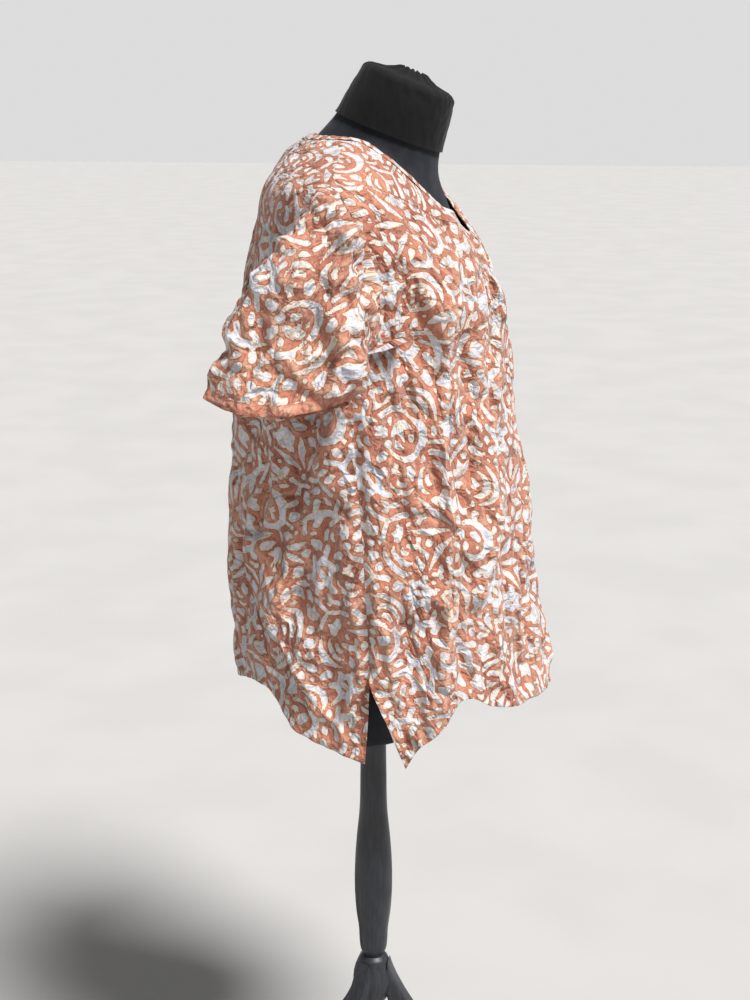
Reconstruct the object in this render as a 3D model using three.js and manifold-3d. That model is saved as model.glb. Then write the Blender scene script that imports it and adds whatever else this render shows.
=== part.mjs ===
// A short-sleeved batik shirt worn on a limbless dress form, which stands on a turned column with three legs.
// Millimetres. +Z is up, -Y is the wearer's front, -X is the wearer's right side.
// The parts are laid out round the column's axis; the last lines move the origin to the floor under the
// middle of the whole object's box.
import * as THREE from 'three';
import { mergeVertices } from 'three/addons/utils/BufferGeometryUtils.js';
import Module from 'manifold-3d';

const wasm = await Module();
wasm.setup();

// ---- driving dimensions ----

const CLOTH_WALL = 1.6;
const SEAM_GAP = 0.4;
const ARMHOLE_GAP = 0.6;
const ARMHOLE_RAISE = 1;

const HEM_CORNER_FRONT = 623;
const HEM_CORNER_BACK = 626;
const SLIT_TOP = 724;
const SLIT_SPREAD_FRONT = 12;
const SLIT_SPREAD_BACK = 2;
const UNDERARM = 1075;
const SHOULDER_TIP = 1255;
const NECK_POINT = 1301;
const ARMHOLE_SPREAD = 17;
const KEYHOLE_WIDTH = 6;
const KEYHOLE_ROWS = 5;
const BINDING_WIDTH = 6;
const BINDING_BULGE = 0.8;

const SLIT_STEPS = 3;
const SIDE_STEPS = 7;
const ARMHOLE_STEPS = 10;
const SHOULDER_STEPS = 3;
const HALF_PANEL_COLUMNS = 13;
const SLEEVE_STEPS = 7;

const TORSO_BOTTOM = 621;
const FORM_SIDES = 28;
const NECK_SIDES = 24;
const CUFF_WALL = 2.4;
const CUFF_CLEARANCE = 0.5;

const HUB_TOP = 262;
const HUB_BOTTOM = 188;
const HUB_RADIUS = 20;
const PIECE_GAP = 0.3;
const LEG_REACH = 262;
const LEG_THICKNESS = 26;
const LEG_CHAMFER = 4;
const LEG_STEPS = 12;
const FOOT_LENGTH = 28;

// The cloth's level sections. width is the half width along X, front and back are the reaches from the
// column's axis along -Y and +Y, and seam is the Y of the side and shoulder seams.
const CLOTH_SECTIONS = [
  { z: 620, width: 206, front: 221, back: 162, seam: -33 },
  { z: 651, width: 204, front: 217, back: 164, seam: -33 },
  { z: 724, width: 199, front: 206, back: 169, seam: -31 },
  { z: 811, width: 193, front: 192, back: 168, seam: -27 },
  { z: 884, width: 188, front: 181, back: 166, seam: -22 },
  { z: 968, width: 183, front: 168, back: 157, seam: -13 },
  { z: 1051, width: 180, front: 157, back: 151, seam: -8 },
  { z: 1132, width: 182, front: 142, back: 144, seam: 0 },
  { z: 1194, width: 186, front: 115, back: 131, seam: 8 },
  { z: 1210, width: 187, front: 101, back: 128, seam: 9 },
  { z: 1241, width: 188, front: 76, back: 119, seam: 11 },
  { z: 1255, width: 182, front: 66, back: 113, seam: 12 },
  { z: 1275, width: 148, front: 52, back: 101, seam: 14 },
  { z: 1288, width: 119, front: 40, back: 91, seam: 15 },
  { z: 1300, width: 88, front: 25, back: 79, seam: 15 },
  { z: 1312, width: 58, front: 5, back: 62, seam: 15 },
];

// Heights of the hem and the neckline by angle. The angle is 0 at the front centre, 90 at the side and
// 180 at the back centre.
const FRONT_HEM = [
  { angle: 0, z: 652 },
  { angle: 16, z: 660 },
  { angle: 32, z: 668 },
  { angle: 44, z: 679 },
  { angle: 54, z: 696 },
  { angle: 59, z: 693 },
  { angle: 64, z: 674 },
  { angle: 69, z: 658 },
  { angle: 73, z: 648 },
  { angle: 78, z: 623 },
];
const BACK_HEM = [
  { angle: 92, z: 626 },
  { angle: 102, z: 635 },
  { angle: 112, z: 642 },
  { angle: 120, z: 655 },
  { angle: 129, z: 685 },
  { angle: 137, z: 689 },
  { angle: 148, z: 681 },
  { angle: 160, z: 667 },
  { angle: 180, z: 658 },
];
const NECKLINE = [
  { angle: 0, z: 1193 },
  { angle: 6, z: 1198 },
  { angle: 11, z: 1217 },
  { angle: 22, z: 1250 },
  { angle: 41, z: 1281 },
  { angle: 60, z: 1296 },
  { angle: 90, z: NECK_POINT },
  { angle: 130, z: 1302 },
  { angle: 180, z: 1301 },
];

// The largest folds of the cloth, each a soft ridge between two points on the sections. Angles are as above,
// positive on the wearer's right and negative on the left.
const FOLDS = [
  { highZ: 1170, highAngle: 40, lowZ: 600, lowAngle: 68, height: 9, halfWidth: 7 },
  { highZ: 1120, highAngle: 27, lowZ: 780, lowAngle: 48, height: 6, halfWidth: 7 },
  { highZ: 1040, highAngle: 108, lowZ: 760, lowAngle: 84, height: 7, halfWidth: 8 },
  { highZ: 930, highAngle: 152, lowZ: 650, lowAngle: 104, height: 7, halfWidth: 8 },
  { highZ: 1180, highAngle: -36, lowZ: 600, lowAngle: -61, height: 8, halfWidth: 8 },
  { highZ: 1060, highAngle: -112, lowZ: 740, lowAngle: -90, height: 6, halfWidth: 8 },
  { highZ: 960, highAngle: -150, lowZ: 620, lowAngle: -122, height: 7, halfWidth: 9 },
];

// The right sleeve's three guiding rings. It hangs empty and swings to the back. A point at angle t has
// X = x + out cos t, Y = y - half sin t and Z = z + rise cos t, with t = 0 at the top.
const SLEEVE_RINGS = {
  middle: { x: -220, out: -25, y: 25, half: 70, z: 1142, rise: 92 },
  hem: { x: -238, out: -34, y: 62, half: 78, z: 1024, rise: 8 },
};
const SLEEVE_CORNER_LIFT = 20;

// The form's level sections, with the same columns as the cloth's.
const TORSO_SECTIONS = [
  { z: TORSO_BOTTOM, width: 158, front: 98, back: 94, seam: 0 },
  { z: 700, width: 170, front: 118, back: 116, seam: 0 },
  { z: 790, width: 160, front: 114, back: 116, seam: 0 },
  { z: 880, width: 130, front: 98, back: 86, seam: 0 },
  { z: 960, width: 140, front: 114, back: 92, seam: 0 },
  { z: 1040, width: 158, front: 138, back: 106, seam: 0 },
  { z: 1100, width: 164, front: 130, back: 114, seam: 0 },
  { z: 1160, width: 168, front: 114, back: 114, seam: 0 },
  { z: 1200, width: 170, front: 97, back: 112, seam: 6 },
  { z: 1220, width: 170, front: 83, back: 111, seam: 9 },
  { z: 1241, width: 166, front: 66, back: 105, seam: 11 },
  { z: 1258, width: 146, front: 54, back: 97, seam: 12 },
  { z: 1275, width: 116, front: 42, back: 87, seam: 14 },
  { z: 1288, width: 84, front: 28, back: 76, seam: 15 },
  { z: 1298, width: 48, front: 6, back: 60, seam: 18 },
];

// The neck's slanting sections, each through a front point and a back point on the middle plane.
const NECK_SECTIONS = [
  { frontY: -86, frontZ: 1190, backY: 84, backZ: 1262, width: 70 },
  { frontY: -82, frontZ: 1228, backY: 74, backZ: 1292, width: 62 },
  { frontY: -76, frontZ: 1258, backY: 58, backZ: 1310, width: 58 },
  { frontY: -76, frontZ: 1286, backY: 40, backZ: 1330, width: 56 },
  { frontY: -84, frontZ: 1318, backY: 22, backZ: 1358, width: 54 },
  { frontY: -89, frontZ: 1340, backY: 8, backZ: 1380, width: 50 },
];

// The turned column's and the hub's outlines.
const COLUMN_PROFILE = [
  { z: HUB_TOP + PIECE_GAP, radius: 13 },
  { z: 270, radius: 16.5 },
  { z: 281, radius: 18 },
  { z: 298, radius: 18.8 },
  { z: 327, radius: 22.4 },
  { z: 353, radius: 24 },
  { z: 378, radius: 24.2 },
  { z: 402, radius: 23.4 },
  { z: 428, radius: 21.6 },
  { z: 467, radius: 17.9 },
  { z: 525, radius: 16.5 },
  { z: TORSO_BOTTOM - PIECE_GAP, radius: 15.6 },
];
const HUB_PROFILE = [
  { z: HUB_BOTTOM, radius: 8 },
  { z: HUB_BOTTOM + 6, radius: 15 },
  { z: HUB_BOTTOM + 14, radius: HUB_RADIUS },
  { z: HUB_TOP - 8, radius: HUB_RADIUS },
  { z: HUB_TOP, radius: 14 },
];

const COLOURS = {
  batik: { color: 0xc98462, roughness: 0.75, metalness: 0 },
  jersey: { color: 0x231f20, roughness: 0.95, metalness: 0 },
  blackWood: { color: 0x2d2f36, roughness: 0.45, metalness: 0 },
};

// ---- helpers ----

const radians = THREE.MathUtils.degToRad;
const lerp = THREE.MathUtils.lerp;

/** Reads a column of a table at a place between its rows, on a smooth curve through them. */
function readTable(rows, key, column, place) {
  const last = rows.length - 2;
  let i = 0;
  while (i < last && rows[i + 1][key] < place) i += 1;
  const gap = (n) => rows[n + 1][key] - rows[n][key];
  const rate = (n) => (rows[n + 1][column] - rows[n][column]) / gap(n);
  const slope = (n) => {
    if (n === 0) return rate(0);
    if (n > last) return rate(last);
    return (rate(n - 1) * gap(n) + rate(n) * gap(n - 1)) / (gap(n - 1) + gap(n));
  };
  const t = THREE.MathUtils.clamp((place - rows[i][key]) / gap(i), 0, 1);
  const rise = t * t * (3 - 2 * t);
  const lead = t * (1 - t) * (1 - t) * slope(i) * gap(i);
  const trail = t * t * (1 - t) * slope(i + 1) * gap(i);
  return lerp(rows[i][column], rows[i + 1][column], rise) + lead - trail;
}

/** A point on level sections; the angle runs from the front centre towards the wearer's right. */
function sectionPoint(rows, angle, z) {
  const width = readTable(rows, 'z', 'width', z);
  const seam = readTable(rows, 'z', 'seam', z);
  const across = Math.sin(radians(angle));
  const along = Math.cos(radians(angle));
  const reach = along > 0
    ? -readTable(rows, 'z', 'front', z) - seam
    : seam - readTable(rows, 'z', 'back', z);
  return new THREE.Vector3(-width * across, seam + reach * along, z);
}

/** How far the folds lift the cloth at an angle and height. */
function foldLift(angle, z) {
  const turned = THREE.MathUtils.euclideanModulo(angle + 180, 360) - 180;
  let lift = 0;
  for (const fold of FOLDS) {
    const along = (z - fold.lowZ) / (fold.highZ - fold.lowZ);
    const centre = lerp(fold.lowAngle, fold.highAngle, along);
    const side = (turned - centre) / fold.halfWidth;
    const fade = THREE.MathUtils.smoothstep(along, -0.1, 0.15) * (1 - THREE.MathUtils.smoothstep(along, 0.7, 1.05));
    lift += fold.height * fade * Math.exp(-side * side);
  }
  return lift;
}

/** The cloth's outer face, with its folds. */
function clothPoint(angle, z) {
  const point = sectionPoint(CLOTH_SECTIONS, angle, z);
  const lift = foldLift(angle, z);
  const outward = new THREE.Vector3(-Math.sin(radians(angle)), -Math.cos(radians(angle)), 0);
  return point.addScaledVector(outward, lift);
}

/** The outward normal of a surface given as a function of a row and a column value. */
function normalOf(surface, column, row, columnStep, rowStep) {
  const sideways = surface(column + columnStep, row).sub(surface(column - columnStep, row));
  const upward = surface(column, row + rowStep).sub(surface(column, row - rowStep));
  return upward.cross(sideways).normalize();
}

/** Turns a list of vertices and triangles into a geometry. */
function geometryOf(vertices, triangles) {
  const geometry = new THREE.BufferGeometry();
  geometry.setFromPoints(vertices);
  geometry.setIndex(triangles.flat());
  geometry.computeVertexNormals();
  return geometry;
}

/**
 * A wall of cloth. Each grid is rows of {point, normal} on the outer face, with the outer face on the left of
 * the way up; points that coincide are one vertex, and every free edge gets a rim.
 */
function clothWall(grids) {
  const outer = [];
  const inner = [];
  const known = new Map();
  const vertexOf = ({ point, normal }) => {
    const key = point.toArray().map((value) => value.toFixed(3)).join(' ');
    if (!known.has(key)) {
      known.set(key, outer.length);
      outer.push(point);
      inner.push(point.clone().addScaledVector(normal, -CLOTH_WALL));
    }
    return known.get(key);
  };
  const faces = [];
  for (const grid of grids) {
    for (let row = 0; row < grid.length - 1; row += 1) {
      for (let column = 0; column < grid[row].length - 1; column += 1) {
        const a = vertexOf(grid[row][column]);
        const b = vertexOf(grid[row][column + 1]);
        const c = vertexOf(grid[row + 1][column]);
        const d = vertexOf(grid[row + 1][column + 1]);
        faces.push([a, c, b], [b, c, d]);
      }
    }
  }
  const free = new Map();
  for (const face of faces) {
    face.forEach((start, i) => {
      const end = face[(i + 1) % 3];
      if (!free.delete(`${end} ${start}`)) free.set(`${start} ${end}`, [start, end]);
    });
  }
  const shift = outer.length;
  const triangles = [...faces];
  for (const [a, b, c] of faces) triangles.push([a + shift, c + shift, b + shift]);
  for (const [a, b] of free.values()) triangles.push([b, a, a + shift], [b, a + shift, b + shift]);
  return geometryOf([...outer, ...inner], triangles);
}

/** A solid through closed rings of equal length, from the lowest up; each ring runs to the wearer's right. */
function loft(rings) {
  const sides = rings[0].length;
  const vertices = rings.flat();
  const triangles = [];
  for (let ring = 0; ring < rings.length - 1; ring += 1) {
    for (let side = 0; side < sides; side += 1) {
      const a = ring * sides + side;
      const b = ring * sides + ((side + 1) % sides);
      triangles.push([a, a + sides, b], [b, a + sides, b + sides]);
    }
  }
  const middle = (ring) => ring.reduce((sum, point) => sum.add(point), new THREE.Vector3()).divideScalar(sides);
  const low = vertices.push(middle(rings[0])) - 1;
  const high = vertices.push(middle(rings.at(-1))) - 1;
  const top = (rings.length - 1) * sides;
  for (let side = 0; side < sides; side += 1) {
    const next = (side + 1) % sides;
    triangles.push([low, side, next], [high, top + next, top + side]);
  }
  return geometryOf(vertices, triangles);
}

/** A closed band swept round a loop: each station is a closed list of corners. */
function closedBand(stations) {
  const corners = stations[0].length;
  const triangles = [];
  stations.forEach((_, station) => {
    const here = station * corners;
    const ahead = ((station + 1) % stations.length) * corners;
    for (let corner = 0; corner < corners; corner += 1) {
      const next = (corner + 1) % corners;
      triangles.push([here + corner, here + next, ahead + corner], [here + next, ahead + next, ahead + corner]);
    }
  });
  return geometryOf(stations.flat(), triangles);
}

/** Joins two closed geometries into one body. */
function joined(first, second) {
  const solids = [first, second].map((geometry) => {
    const bare = geometry.clone();
    bare.deleteAttribute('normal');
    bare.deleteAttribute('uv');
    const merged = mergeVertices(bare, 1e-4);
    return new wasm.Manifold(new wasm.Mesh({
      numProp: 3,
      vertProperties: merged.attributes.position.array,
      triVerts: new Uint32Array(merged.index.array),
    }));
  });
  const mesh = solids[0].add(solids[1]).getMesh();
  const result = new THREE.BufferGeometry();
  result.setAttribute('position', new THREE.BufferAttribute(mesh.vertProperties, 3));
  result.setIndex(new THREE.BufferAttribute(mesh.triVerts, 1));
  result.computeVertexNormals();
  return result;
}

function part(name, geometry, material) {
  const mesh = new THREE.Mesh(geometry, new THREE.MeshStandardMaterial(material));
  mesh.name = name;
  return mesh;
}

// ---- shirt ----

/** How far, in degrees, the armhole's edge stands from the side at a height. */
function armholeSpread(z) {
  const middle = (UNDERARM + SHOULDER_TIP) / 2;
  const reach = (SHOULDER_TIP - UNDERARM) / 2;
  const off = THREE.MathUtils.clamp((z - middle) / reach, -1, 1);
  return ARMHOLE_SPREAD * Math.sqrt(1 - off * off);
}

/** The angle that leaves half the seam gap on each side of the side or shoulder seam. */
function seamSpread(z) {
  const depth = readTable(CLOTH_SECTIONS, 'z', 'front', z) + readTable(CLOTH_SECTIONS, 'z', 'back', z);
  return THREE.MathUtils.radToDeg(SEAM_GAP / depth);
}

/** A panel's rows up its edge: the slit, the side seam, the armhole and the shoulder seam. */
function edgeRows(hemCorner, slitSpread) {
  const rows = [];
  const addRow = (z, spread) => rows.push({ z, spread: spread + seamSpread(z) });
  for (let i = 0; i < SLIT_STEPS; i += 1) {
    const t = i / SLIT_STEPS;
    addRow(lerp(hemCorner, SLIT_TOP, t), slitSpread * (1 - t));
  }
  for (let i = 0; i < SIDE_STEPS; i += 1) {
    addRow(lerp(SLIT_TOP, UNDERARM, i / SIDE_STEPS), 0);
  }
  for (let i = 0; i < ARMHOLE_STEPS; i += 1) {
    const t = (1 - Math.cos((Math.PI * i) / ARMHOLE_STEPS)) / 2;
    const z = lerp(UNDERARM, SHOULDER_TIP, t);
    addRow(z, armholeSpread(z));
  }
  for (let i = 0; i <= SHOULDER_STEPS; i += 1) {
    addRow(lerp(SHOULDER_TIP, NECK_POINT, i / SHOULDER_STEPS), 0);
  }
  return rows;
}

/** Half a panel as rows from the hem up. turn gives the angle for a share from the centre to the edge. */
function halfPanel(rows, hem, columns, turn) {
  const low = rows[0].z;
  return rows.map((row, index) => columns.map((share) => {
    const angle = turn(share, row.spread);
    const hemZ = readTable(hem, 'angle', 'z', Math.abs(turn(share, rows[0].spread)));
    const neckZ = readTable(NECKLINE, 'angle', 'z', Math.abs(turn(share, 0)));
    const z = lerp(hemZ, neckZ, (row.z - low) / (NECK_POINT - low));
    const fromTop = rows.length - 1 - index;
    return { angle, z, fromTop, share };
  }));
}

function clothNode({ angle, z }) {
  return { point: clothPoint(angle, z), normal: normalOf(clothPoint, angle, z, 0.5, 2) };
}

const columnShares = Array.from({ length: HALF_PANEL_COLUMNS + 1 }, (_, i) => i / HALF_PANEL_COLUMNS);

/** The front, with the keyhole slit running down its centre from the neckline. */
function shirtFront() {
  const rows = edgeRows(HEM_CORNER_FRONT, SLIT_SPREAD_FRONT);
  const half = (side, columns) => {
    const cells = halfPanel(rows, FRONT_HEM, columns, (share, spread) => side * share * (90 - spread));
    return cells.map((row) => row.map((cell) => {
      const node = clothNode(cell);
      const open = THREE.MathUtils.clamp(1 - cell.fromTop / KEYHOLE_ROWS, 0, 1);
      if (cell.share === 0) node.point.x -= side * open * KEYHOLE_WIDTH / 2;
      return node;
    }));
  };
  return clothWall([half(1, columnShares), half(-1, [...columnShares].reverse())]);
}

function shirtBack() {
  const rows = edgeRows(HEM_CORNER_BACK, SLIT_SPREAD_BACK);
  const half = (side, columns) => {
    const cells = halfPanel(rows, BACK_HEM, columns, (share, spread) => side * (180 - share * (90 - spread)));
    return cells.map((row) => row.map(clothNode));
  };
  return clothWall([half(1, [...columnShares].reverse()), half(-1, columnShares)]);
}

/** A point of the right sleeve; turn is 0 at the top and 90 at the front, and along runs 0 to 1 to the hem. */
function sleevePoint(turn, along) {
  const t = radians(turn);
  const height = lerp(UNDERARM, SHOULDER_TIP, (1 + Math.cos(t)) / 2);
  const start = clothPoint(90 - ARMHOLE_SPREAD * Math.sin(t), height);
  const centre = new THREE.Vector3(start.x, 0, (UNDERARM + SHOULDER_TIP) / 2);
  const raised = normalOf(clothPoint, 90 - ARMHOLE_SPREAD * Math.sin(t), height, 0.5, 2);
  start.addScaledVector(start.clone().sub(centre).normalize(), -ARMHOLE_GAP);
  start.addScaledVector(raised, ARMHOLE_RAISE);
  const onRing = (ring) => new THREE.Vector3(
    ring.x + ring.out * Math.cos(t),
    ring.y - ring.half * Math.sin(t),
    ring.z + ring.rise * Math.cos(t),
  );
  const middle = onRing(SLEEVE_RINGS.middle);
  const end = onRing(SLEEVE_RINGS.hem);
  end.z += SLEEVE_CORNER_LIFT * Math.sin(t) ** 2;
  const back = 1 - along;
  return start.multiplyScalar(back * back)
    .addScaledVector(middle, 2 * back * along)
    .addScaledVector(end, along * along);
}

/** A sleeve; mirror is 1 on the wearer's right and -1 on the left. */
function sleeve(mirror) {
  const sides = ARMHOLE_STEPS * 2;
  const grid = [];
  for (let step = SLEEVE_STEPS; step >= 0; step -= 1) {
    const row = [];
    for (let side = 0; side <= sides; side += 1) {
      const turn = (-mirror * 360 * side) / sides;
      const along = step / SLEEVE_STEPS;
      const point = sleevePoint(turn, along);
      const normal = normalOf((column, place) => sleevePoint(column, place), turn, Math.max(along, 0.02), 1, -0.02);
      normal.multiplyScalar(-1);
      point.x *= mirror;
      normal.x *= mirror;
      row.push({ point, normal });
    }
    grid.push(row);
  }
  return clothWall([grid]);
}

/** The narrow binding that closes the neckline, a flat band just beyond the panels' top edges. */
function neckBinding() {
  const stations = 4 * HALF_PANEL_COLUMNS;
  const edge = (angle) => {
    const turned = THREE.MathUtils.euclideanModulo(angle + 180, 360) - 180;
    return clothPoint(turned, readTable(NECKLINE, 'angle', 'z', Math.abs(turned)));
  };
  return closedBand(Array.from({ length: stations }, (_, i) => {
    const angle = (360 * i) / stations;
    const turned = THREE.MathUtils.euclideanModulo(angle + 180, 360) - 180;
    const point = edge(angle);
    const z = readTable(NECKLINE, 'angle', 'z', Math.abs(turned));
    const normal = normalOf(clothPoint, turned, z, 0.5, 2);
    const along = edge(angle + 1).sub(edge(angle - 1)).normalize();
    const inward = along.clone().cross(normal).normalize();
    const corner = (reach, lift) => point.clone().addScaledVector(inward, reach).addScaledVector(normal, lift);
    const far = SEAM_GAP + BINDING_WIDTH;
    return [
      corner(SEAM_GAP, BINDING_BULGE),
      corner(far, BINDING_BULGE),
      corner(far, -CLOTH_WALL - BINDING_BULGE),
      corner(SEAM_GAP, -CLOTH_WALL - BINDING_BULGE),
    ];
  }));
}

// ---- dress form ----

function neckRing({ frontY, frontZ, backY, backZ, width }, grow = 0) {
  const front = new THREE.Vector3(0, frontY, frontZ);
  const back = new THREE.Vector3(0, backY, backZ);
  const centre = front.clone().add(back).divideScalar(2);
  const forward = front.clone().sub(back).divideScalar(2);
  forward.setLength(forward.length() + grow);
  return Array.from({ length: NECK_SIDES }, (_, i) => {
    const turn = (2 * Math.PI * i) / NECK_SIDES;
    const point = centre.clone().addScaledVector(forward, Math.cos(turn));
    point.x -= (width + grow) * Math.sin(turn);
    return point;
  });
}

/** The torso and neck of the form, one padded body under black jersey. */
function formBody() {
  const torso = loft(TORSO_SECTIONS.map(({ z }) => Array.from(
    { length: FORM_SIDES },
    (_, i) => sectionPoint(TORSO_SECTIONS, (360 * i) / FORM_SIDES, z),
  )));
  return joined(torso, loft(NECK_SECTIONS.map((section) => neckRing(section))));
}

/** The jersey turned down over the neck, gathered into a small round hollow on top. */
function neckCuff() {
  const [lower, upper, top] = [NECK_SECTIONS.at(-3), NECK_SECTIONS.at(-2), NECK_SECTIONS.at(-1)];
  const up = new THREE.Vector3(0, top.backZ - top.frontZ, top.backY - top.frontY).normalize();
  up.y *= -1;
  const lift = (ring, amount) => ring.map((point) => point.clone().addScaledVector(up, amount));
  const inside = CUFF_CLEARANCE;
  const outside = CUFF_CLEARANCE + CUFF_WALL;
  const shrink = (ring, share) => {
    const centre = ring.reduce((sum, point) => sum.add(point), new THREE.Vector3()).divideScalar(ring.length);
    return ring.map((point) => point.clone().lerp(centre, share));
  };
  const outer = [
    neckRing(lower, outside),
    neckRing(upper, outside),
    lift(neckRing(top, outside), 0),
    lift(shrink(neckRing(top, outside), 0.12), CUFF_WALL + 4),
    lift(shrink(neckRing(top, outside), 0.5), CUFF_WALL + 6),
    lift(shrink(neckRing(top, outside), 0.72), CUFF_WALL + 12),
  ];
  const inner = [
    lift(shrink(neckRing(top, inside), 0.78), CUFF_WALL + 9),
    lift(shrink(neckRing(top, inside), 0.55), inside + 0.5),
    lift(neckRing(top, inside), inside + 0.3),
    neckRing(upper, inside),
    neckRing(lower, inside),
  ];
  const profile = [...outer, ...inner];
  return closedBand(Array.from({ length: NECK_SIDES }, (_, side) => profile.map((ring) => ring[side])));
}

// ---- stand ----

function turned(profile) {
  const outline = profile.map(({ z, radius }) => new THREE.Vector2(radius, z));
  const low = new THREE.Vector2(0, profile[0].z);
  const high = new THREE.Vector2(0, profile.at(-1).z);
  const geometry = new THREE.LatheGeometry([low, ...outline, high], 24);
  geometry.rotateX(Math.PI / 2);
  return geometry;
}

/** One curved leg that runs out along +X from the hub to a flat foot; its long edges are chamfered. */
function leg() {
  const root = HUB_RADIUS + PIECE_GAP;
  const heel = LEG_REACH - FOOT_LENGTH;
  const flat = (x, z) => new THREE.Vector3(x, 0, z);
  const under = new THREE.CubicBezierCurve3(flat(root, 200), flat(60, 66), flat(190, 36), flat(heel, 0));
  const over = new THREE.CubicBezierCurve3(flat(root, 256), flat(32, 210), flat(110, 88), flat(heel, 40));
  const half = LEG_THICKNESS / 2;
  const section = (low, high) => {
    const up = high.clone().sub(low).normalize().multiplyScalar(LEG_CHAMFER);
    const corner = (point, side, rise) => {
      const moved = point.clone().addScaledVector(up, rise);
      moved.y = side;
      return moved;
    };
    const inset = half - LEG_CHAMFER;
    return [
      corner(high, -half, -1), corner(high, -inset, 0), corner(high, inset, 0), corner(high, half, -1),
      corner(low, half, 1), corner(low, inset, 0), corner(low, -inset, 0), corner(low, -half, 1),
    ];
  };
  const rings = [];
  for (let step = 0; step <= LEG_STEPS; step += 1) {
    rings.push(section(under.getPoint(step / LEG_STEPS), over.getPoint(step / LEG_STEPS)));
  }
  rings.push(section(flat(LEG_REACH, 0), flat(LEG_REACH, 22)));
  return loft(rings);
}

// ---- assembly ----

const object = new THREE.Group();
object.add(part('shirt_front', shirtFront(), COLOURS.batik));
object.add(part('shirt_back', shirtBack(), COLOURS.batik));
object.add(part('sleeve_right', sleeve(1), COLOURS.batik));
object.add(part('sleeve_left', sleeve(-1), COLOURS.batik));
object.add(part('neck_binding', neckBinding(), COLOURS.batik));
object.add(part('form_body', formBody(), COLOURS.jersey));
object.add(part('form_neck_cuff', neckCuff(), COLOURS.jersey));
object.add(part('stand_column', turned(COLUMN_PROFILE), COLOURS.blackWood));
object.add(part('stand_hub', turned(HUB_PROFILE), COLOURS.blackWood));

const LEG_DIRECTIONS = [
  { name: 'stand_leg_front', heading: -90 },
  { name: 'stand_leg_left', heading: 30 },
  { name: 'stand_leg_right', heading: 150 },
];
for (const { name, heading } of LEG_DIRECTIONS) {
  const mesh = part(name, leg(), COLOURS.blackWood);
  mesh.rotation.z = radians(heading);
  object.add(mesh);
}

const box = new THREE.Box3().setFromObject(object, true);
object.position.set(-(box.min.x + box.max.x) / 2, -(box.min.y + box.max.y) / 2, -box.min.z);

const group = new THREE.Group();
group.add(object);

export default group;
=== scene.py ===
"""A short-sleeved batik shirt on a limbless dress form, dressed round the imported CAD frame.

Shapes are worked out in millimetres round the column's axis, with -Y the wearer's front and -X the wearer's
right, and moved to the frame in metres when a mesh is made. Angles on the body run from 0 at the front centre
to 90 at the wearer's right side and 180 at the back centre.
"""

import math

import bpy
import numpy as np
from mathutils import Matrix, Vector


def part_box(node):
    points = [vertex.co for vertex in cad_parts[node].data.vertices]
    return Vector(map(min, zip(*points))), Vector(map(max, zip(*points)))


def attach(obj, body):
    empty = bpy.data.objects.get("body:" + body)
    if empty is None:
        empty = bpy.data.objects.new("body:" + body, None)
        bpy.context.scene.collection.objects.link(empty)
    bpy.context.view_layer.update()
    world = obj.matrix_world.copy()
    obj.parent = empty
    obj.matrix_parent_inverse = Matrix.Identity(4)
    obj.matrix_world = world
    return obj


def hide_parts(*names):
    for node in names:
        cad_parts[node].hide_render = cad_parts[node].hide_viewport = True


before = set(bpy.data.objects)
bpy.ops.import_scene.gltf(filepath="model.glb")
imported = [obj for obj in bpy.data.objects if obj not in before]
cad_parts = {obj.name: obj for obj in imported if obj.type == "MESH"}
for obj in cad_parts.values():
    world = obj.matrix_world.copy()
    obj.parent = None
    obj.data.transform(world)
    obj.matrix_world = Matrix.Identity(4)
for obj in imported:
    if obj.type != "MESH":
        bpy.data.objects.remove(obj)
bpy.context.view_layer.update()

MM = 0.001


def box_mm(node):
    low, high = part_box(node)
    return np.array(low) / MM, np.array(high) / MM


def table(columns, *rows):
    """Rows of numbers as dictionaries, with the columns' names in one string."""
    names = columns.split()
    return [dict(zip(names, row)) for row in rows]


# ---- places read from the frame ----

COLUMN_LOW, COLUMN_HIGH = box_mm("stand_column")
HUB_LOW, _ = box_mm("stand_hub")
FRONT_LOW, FRONT_HIGH = box_mm("shirt_front")
BACK_LOW, _ = box_mm("shirt_back")
_, SLEEVE_HIGH = box_mm("sleeve_right")
LEG_LOW, LEG_HIGH = box_mm("stand_leg_front")
AXIS = np.array([(COLUMN_LOW[0] + COLUMN_HIGH[0]) / 2, (COLUMN_LOW[1] + COLUMN_HIGH[1]) / 2, 0.0])
TORSO_BOTTOM = box_mm("form_body")[0][2]
HEM_CORNER_FRONT = FRONT_LOW[2]
HEM_CORNER_BACK = BACK_LOW[2]
NECK_POINT = FRONT_HIGH[2]
SHOULDER_TIP = SLEEVE_HIGH[2]

# ---- sizes of the shirt ----

SLIT_TOP = 724.0
SLIT_SPREAD_FRONT = 12.0
SLIT_SPREAD_BACK = 2.0
UNDERARM = 1075.0
ARMHOLE_SPREAD = 17.0
KEYHOLE_WIDTH = 9.0
KEYHOLE_DEPTH = 42.0
HEM_TURN = 10.0
SEAM_TURN = 7.0
CLOTH_FOLD = 0.9
BINDING_WIDTH = 8.0
BINDING_THICKNESS = 2.4
CELL = 2.4
SLEEVE_PLAIN_BAND = 12.0
BODY_CREASE_SCALES = (3.25, 1.0)
BODY_CREASE_GAIN = 1.5
BODY_RELIEF_OUT = 16.0
SLEEVE_CREASE_SCALES = (1.15, 210.0)
SLEEVE_RELIEF = 14.0
SHARP_ANGLE = 65.0

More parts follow.
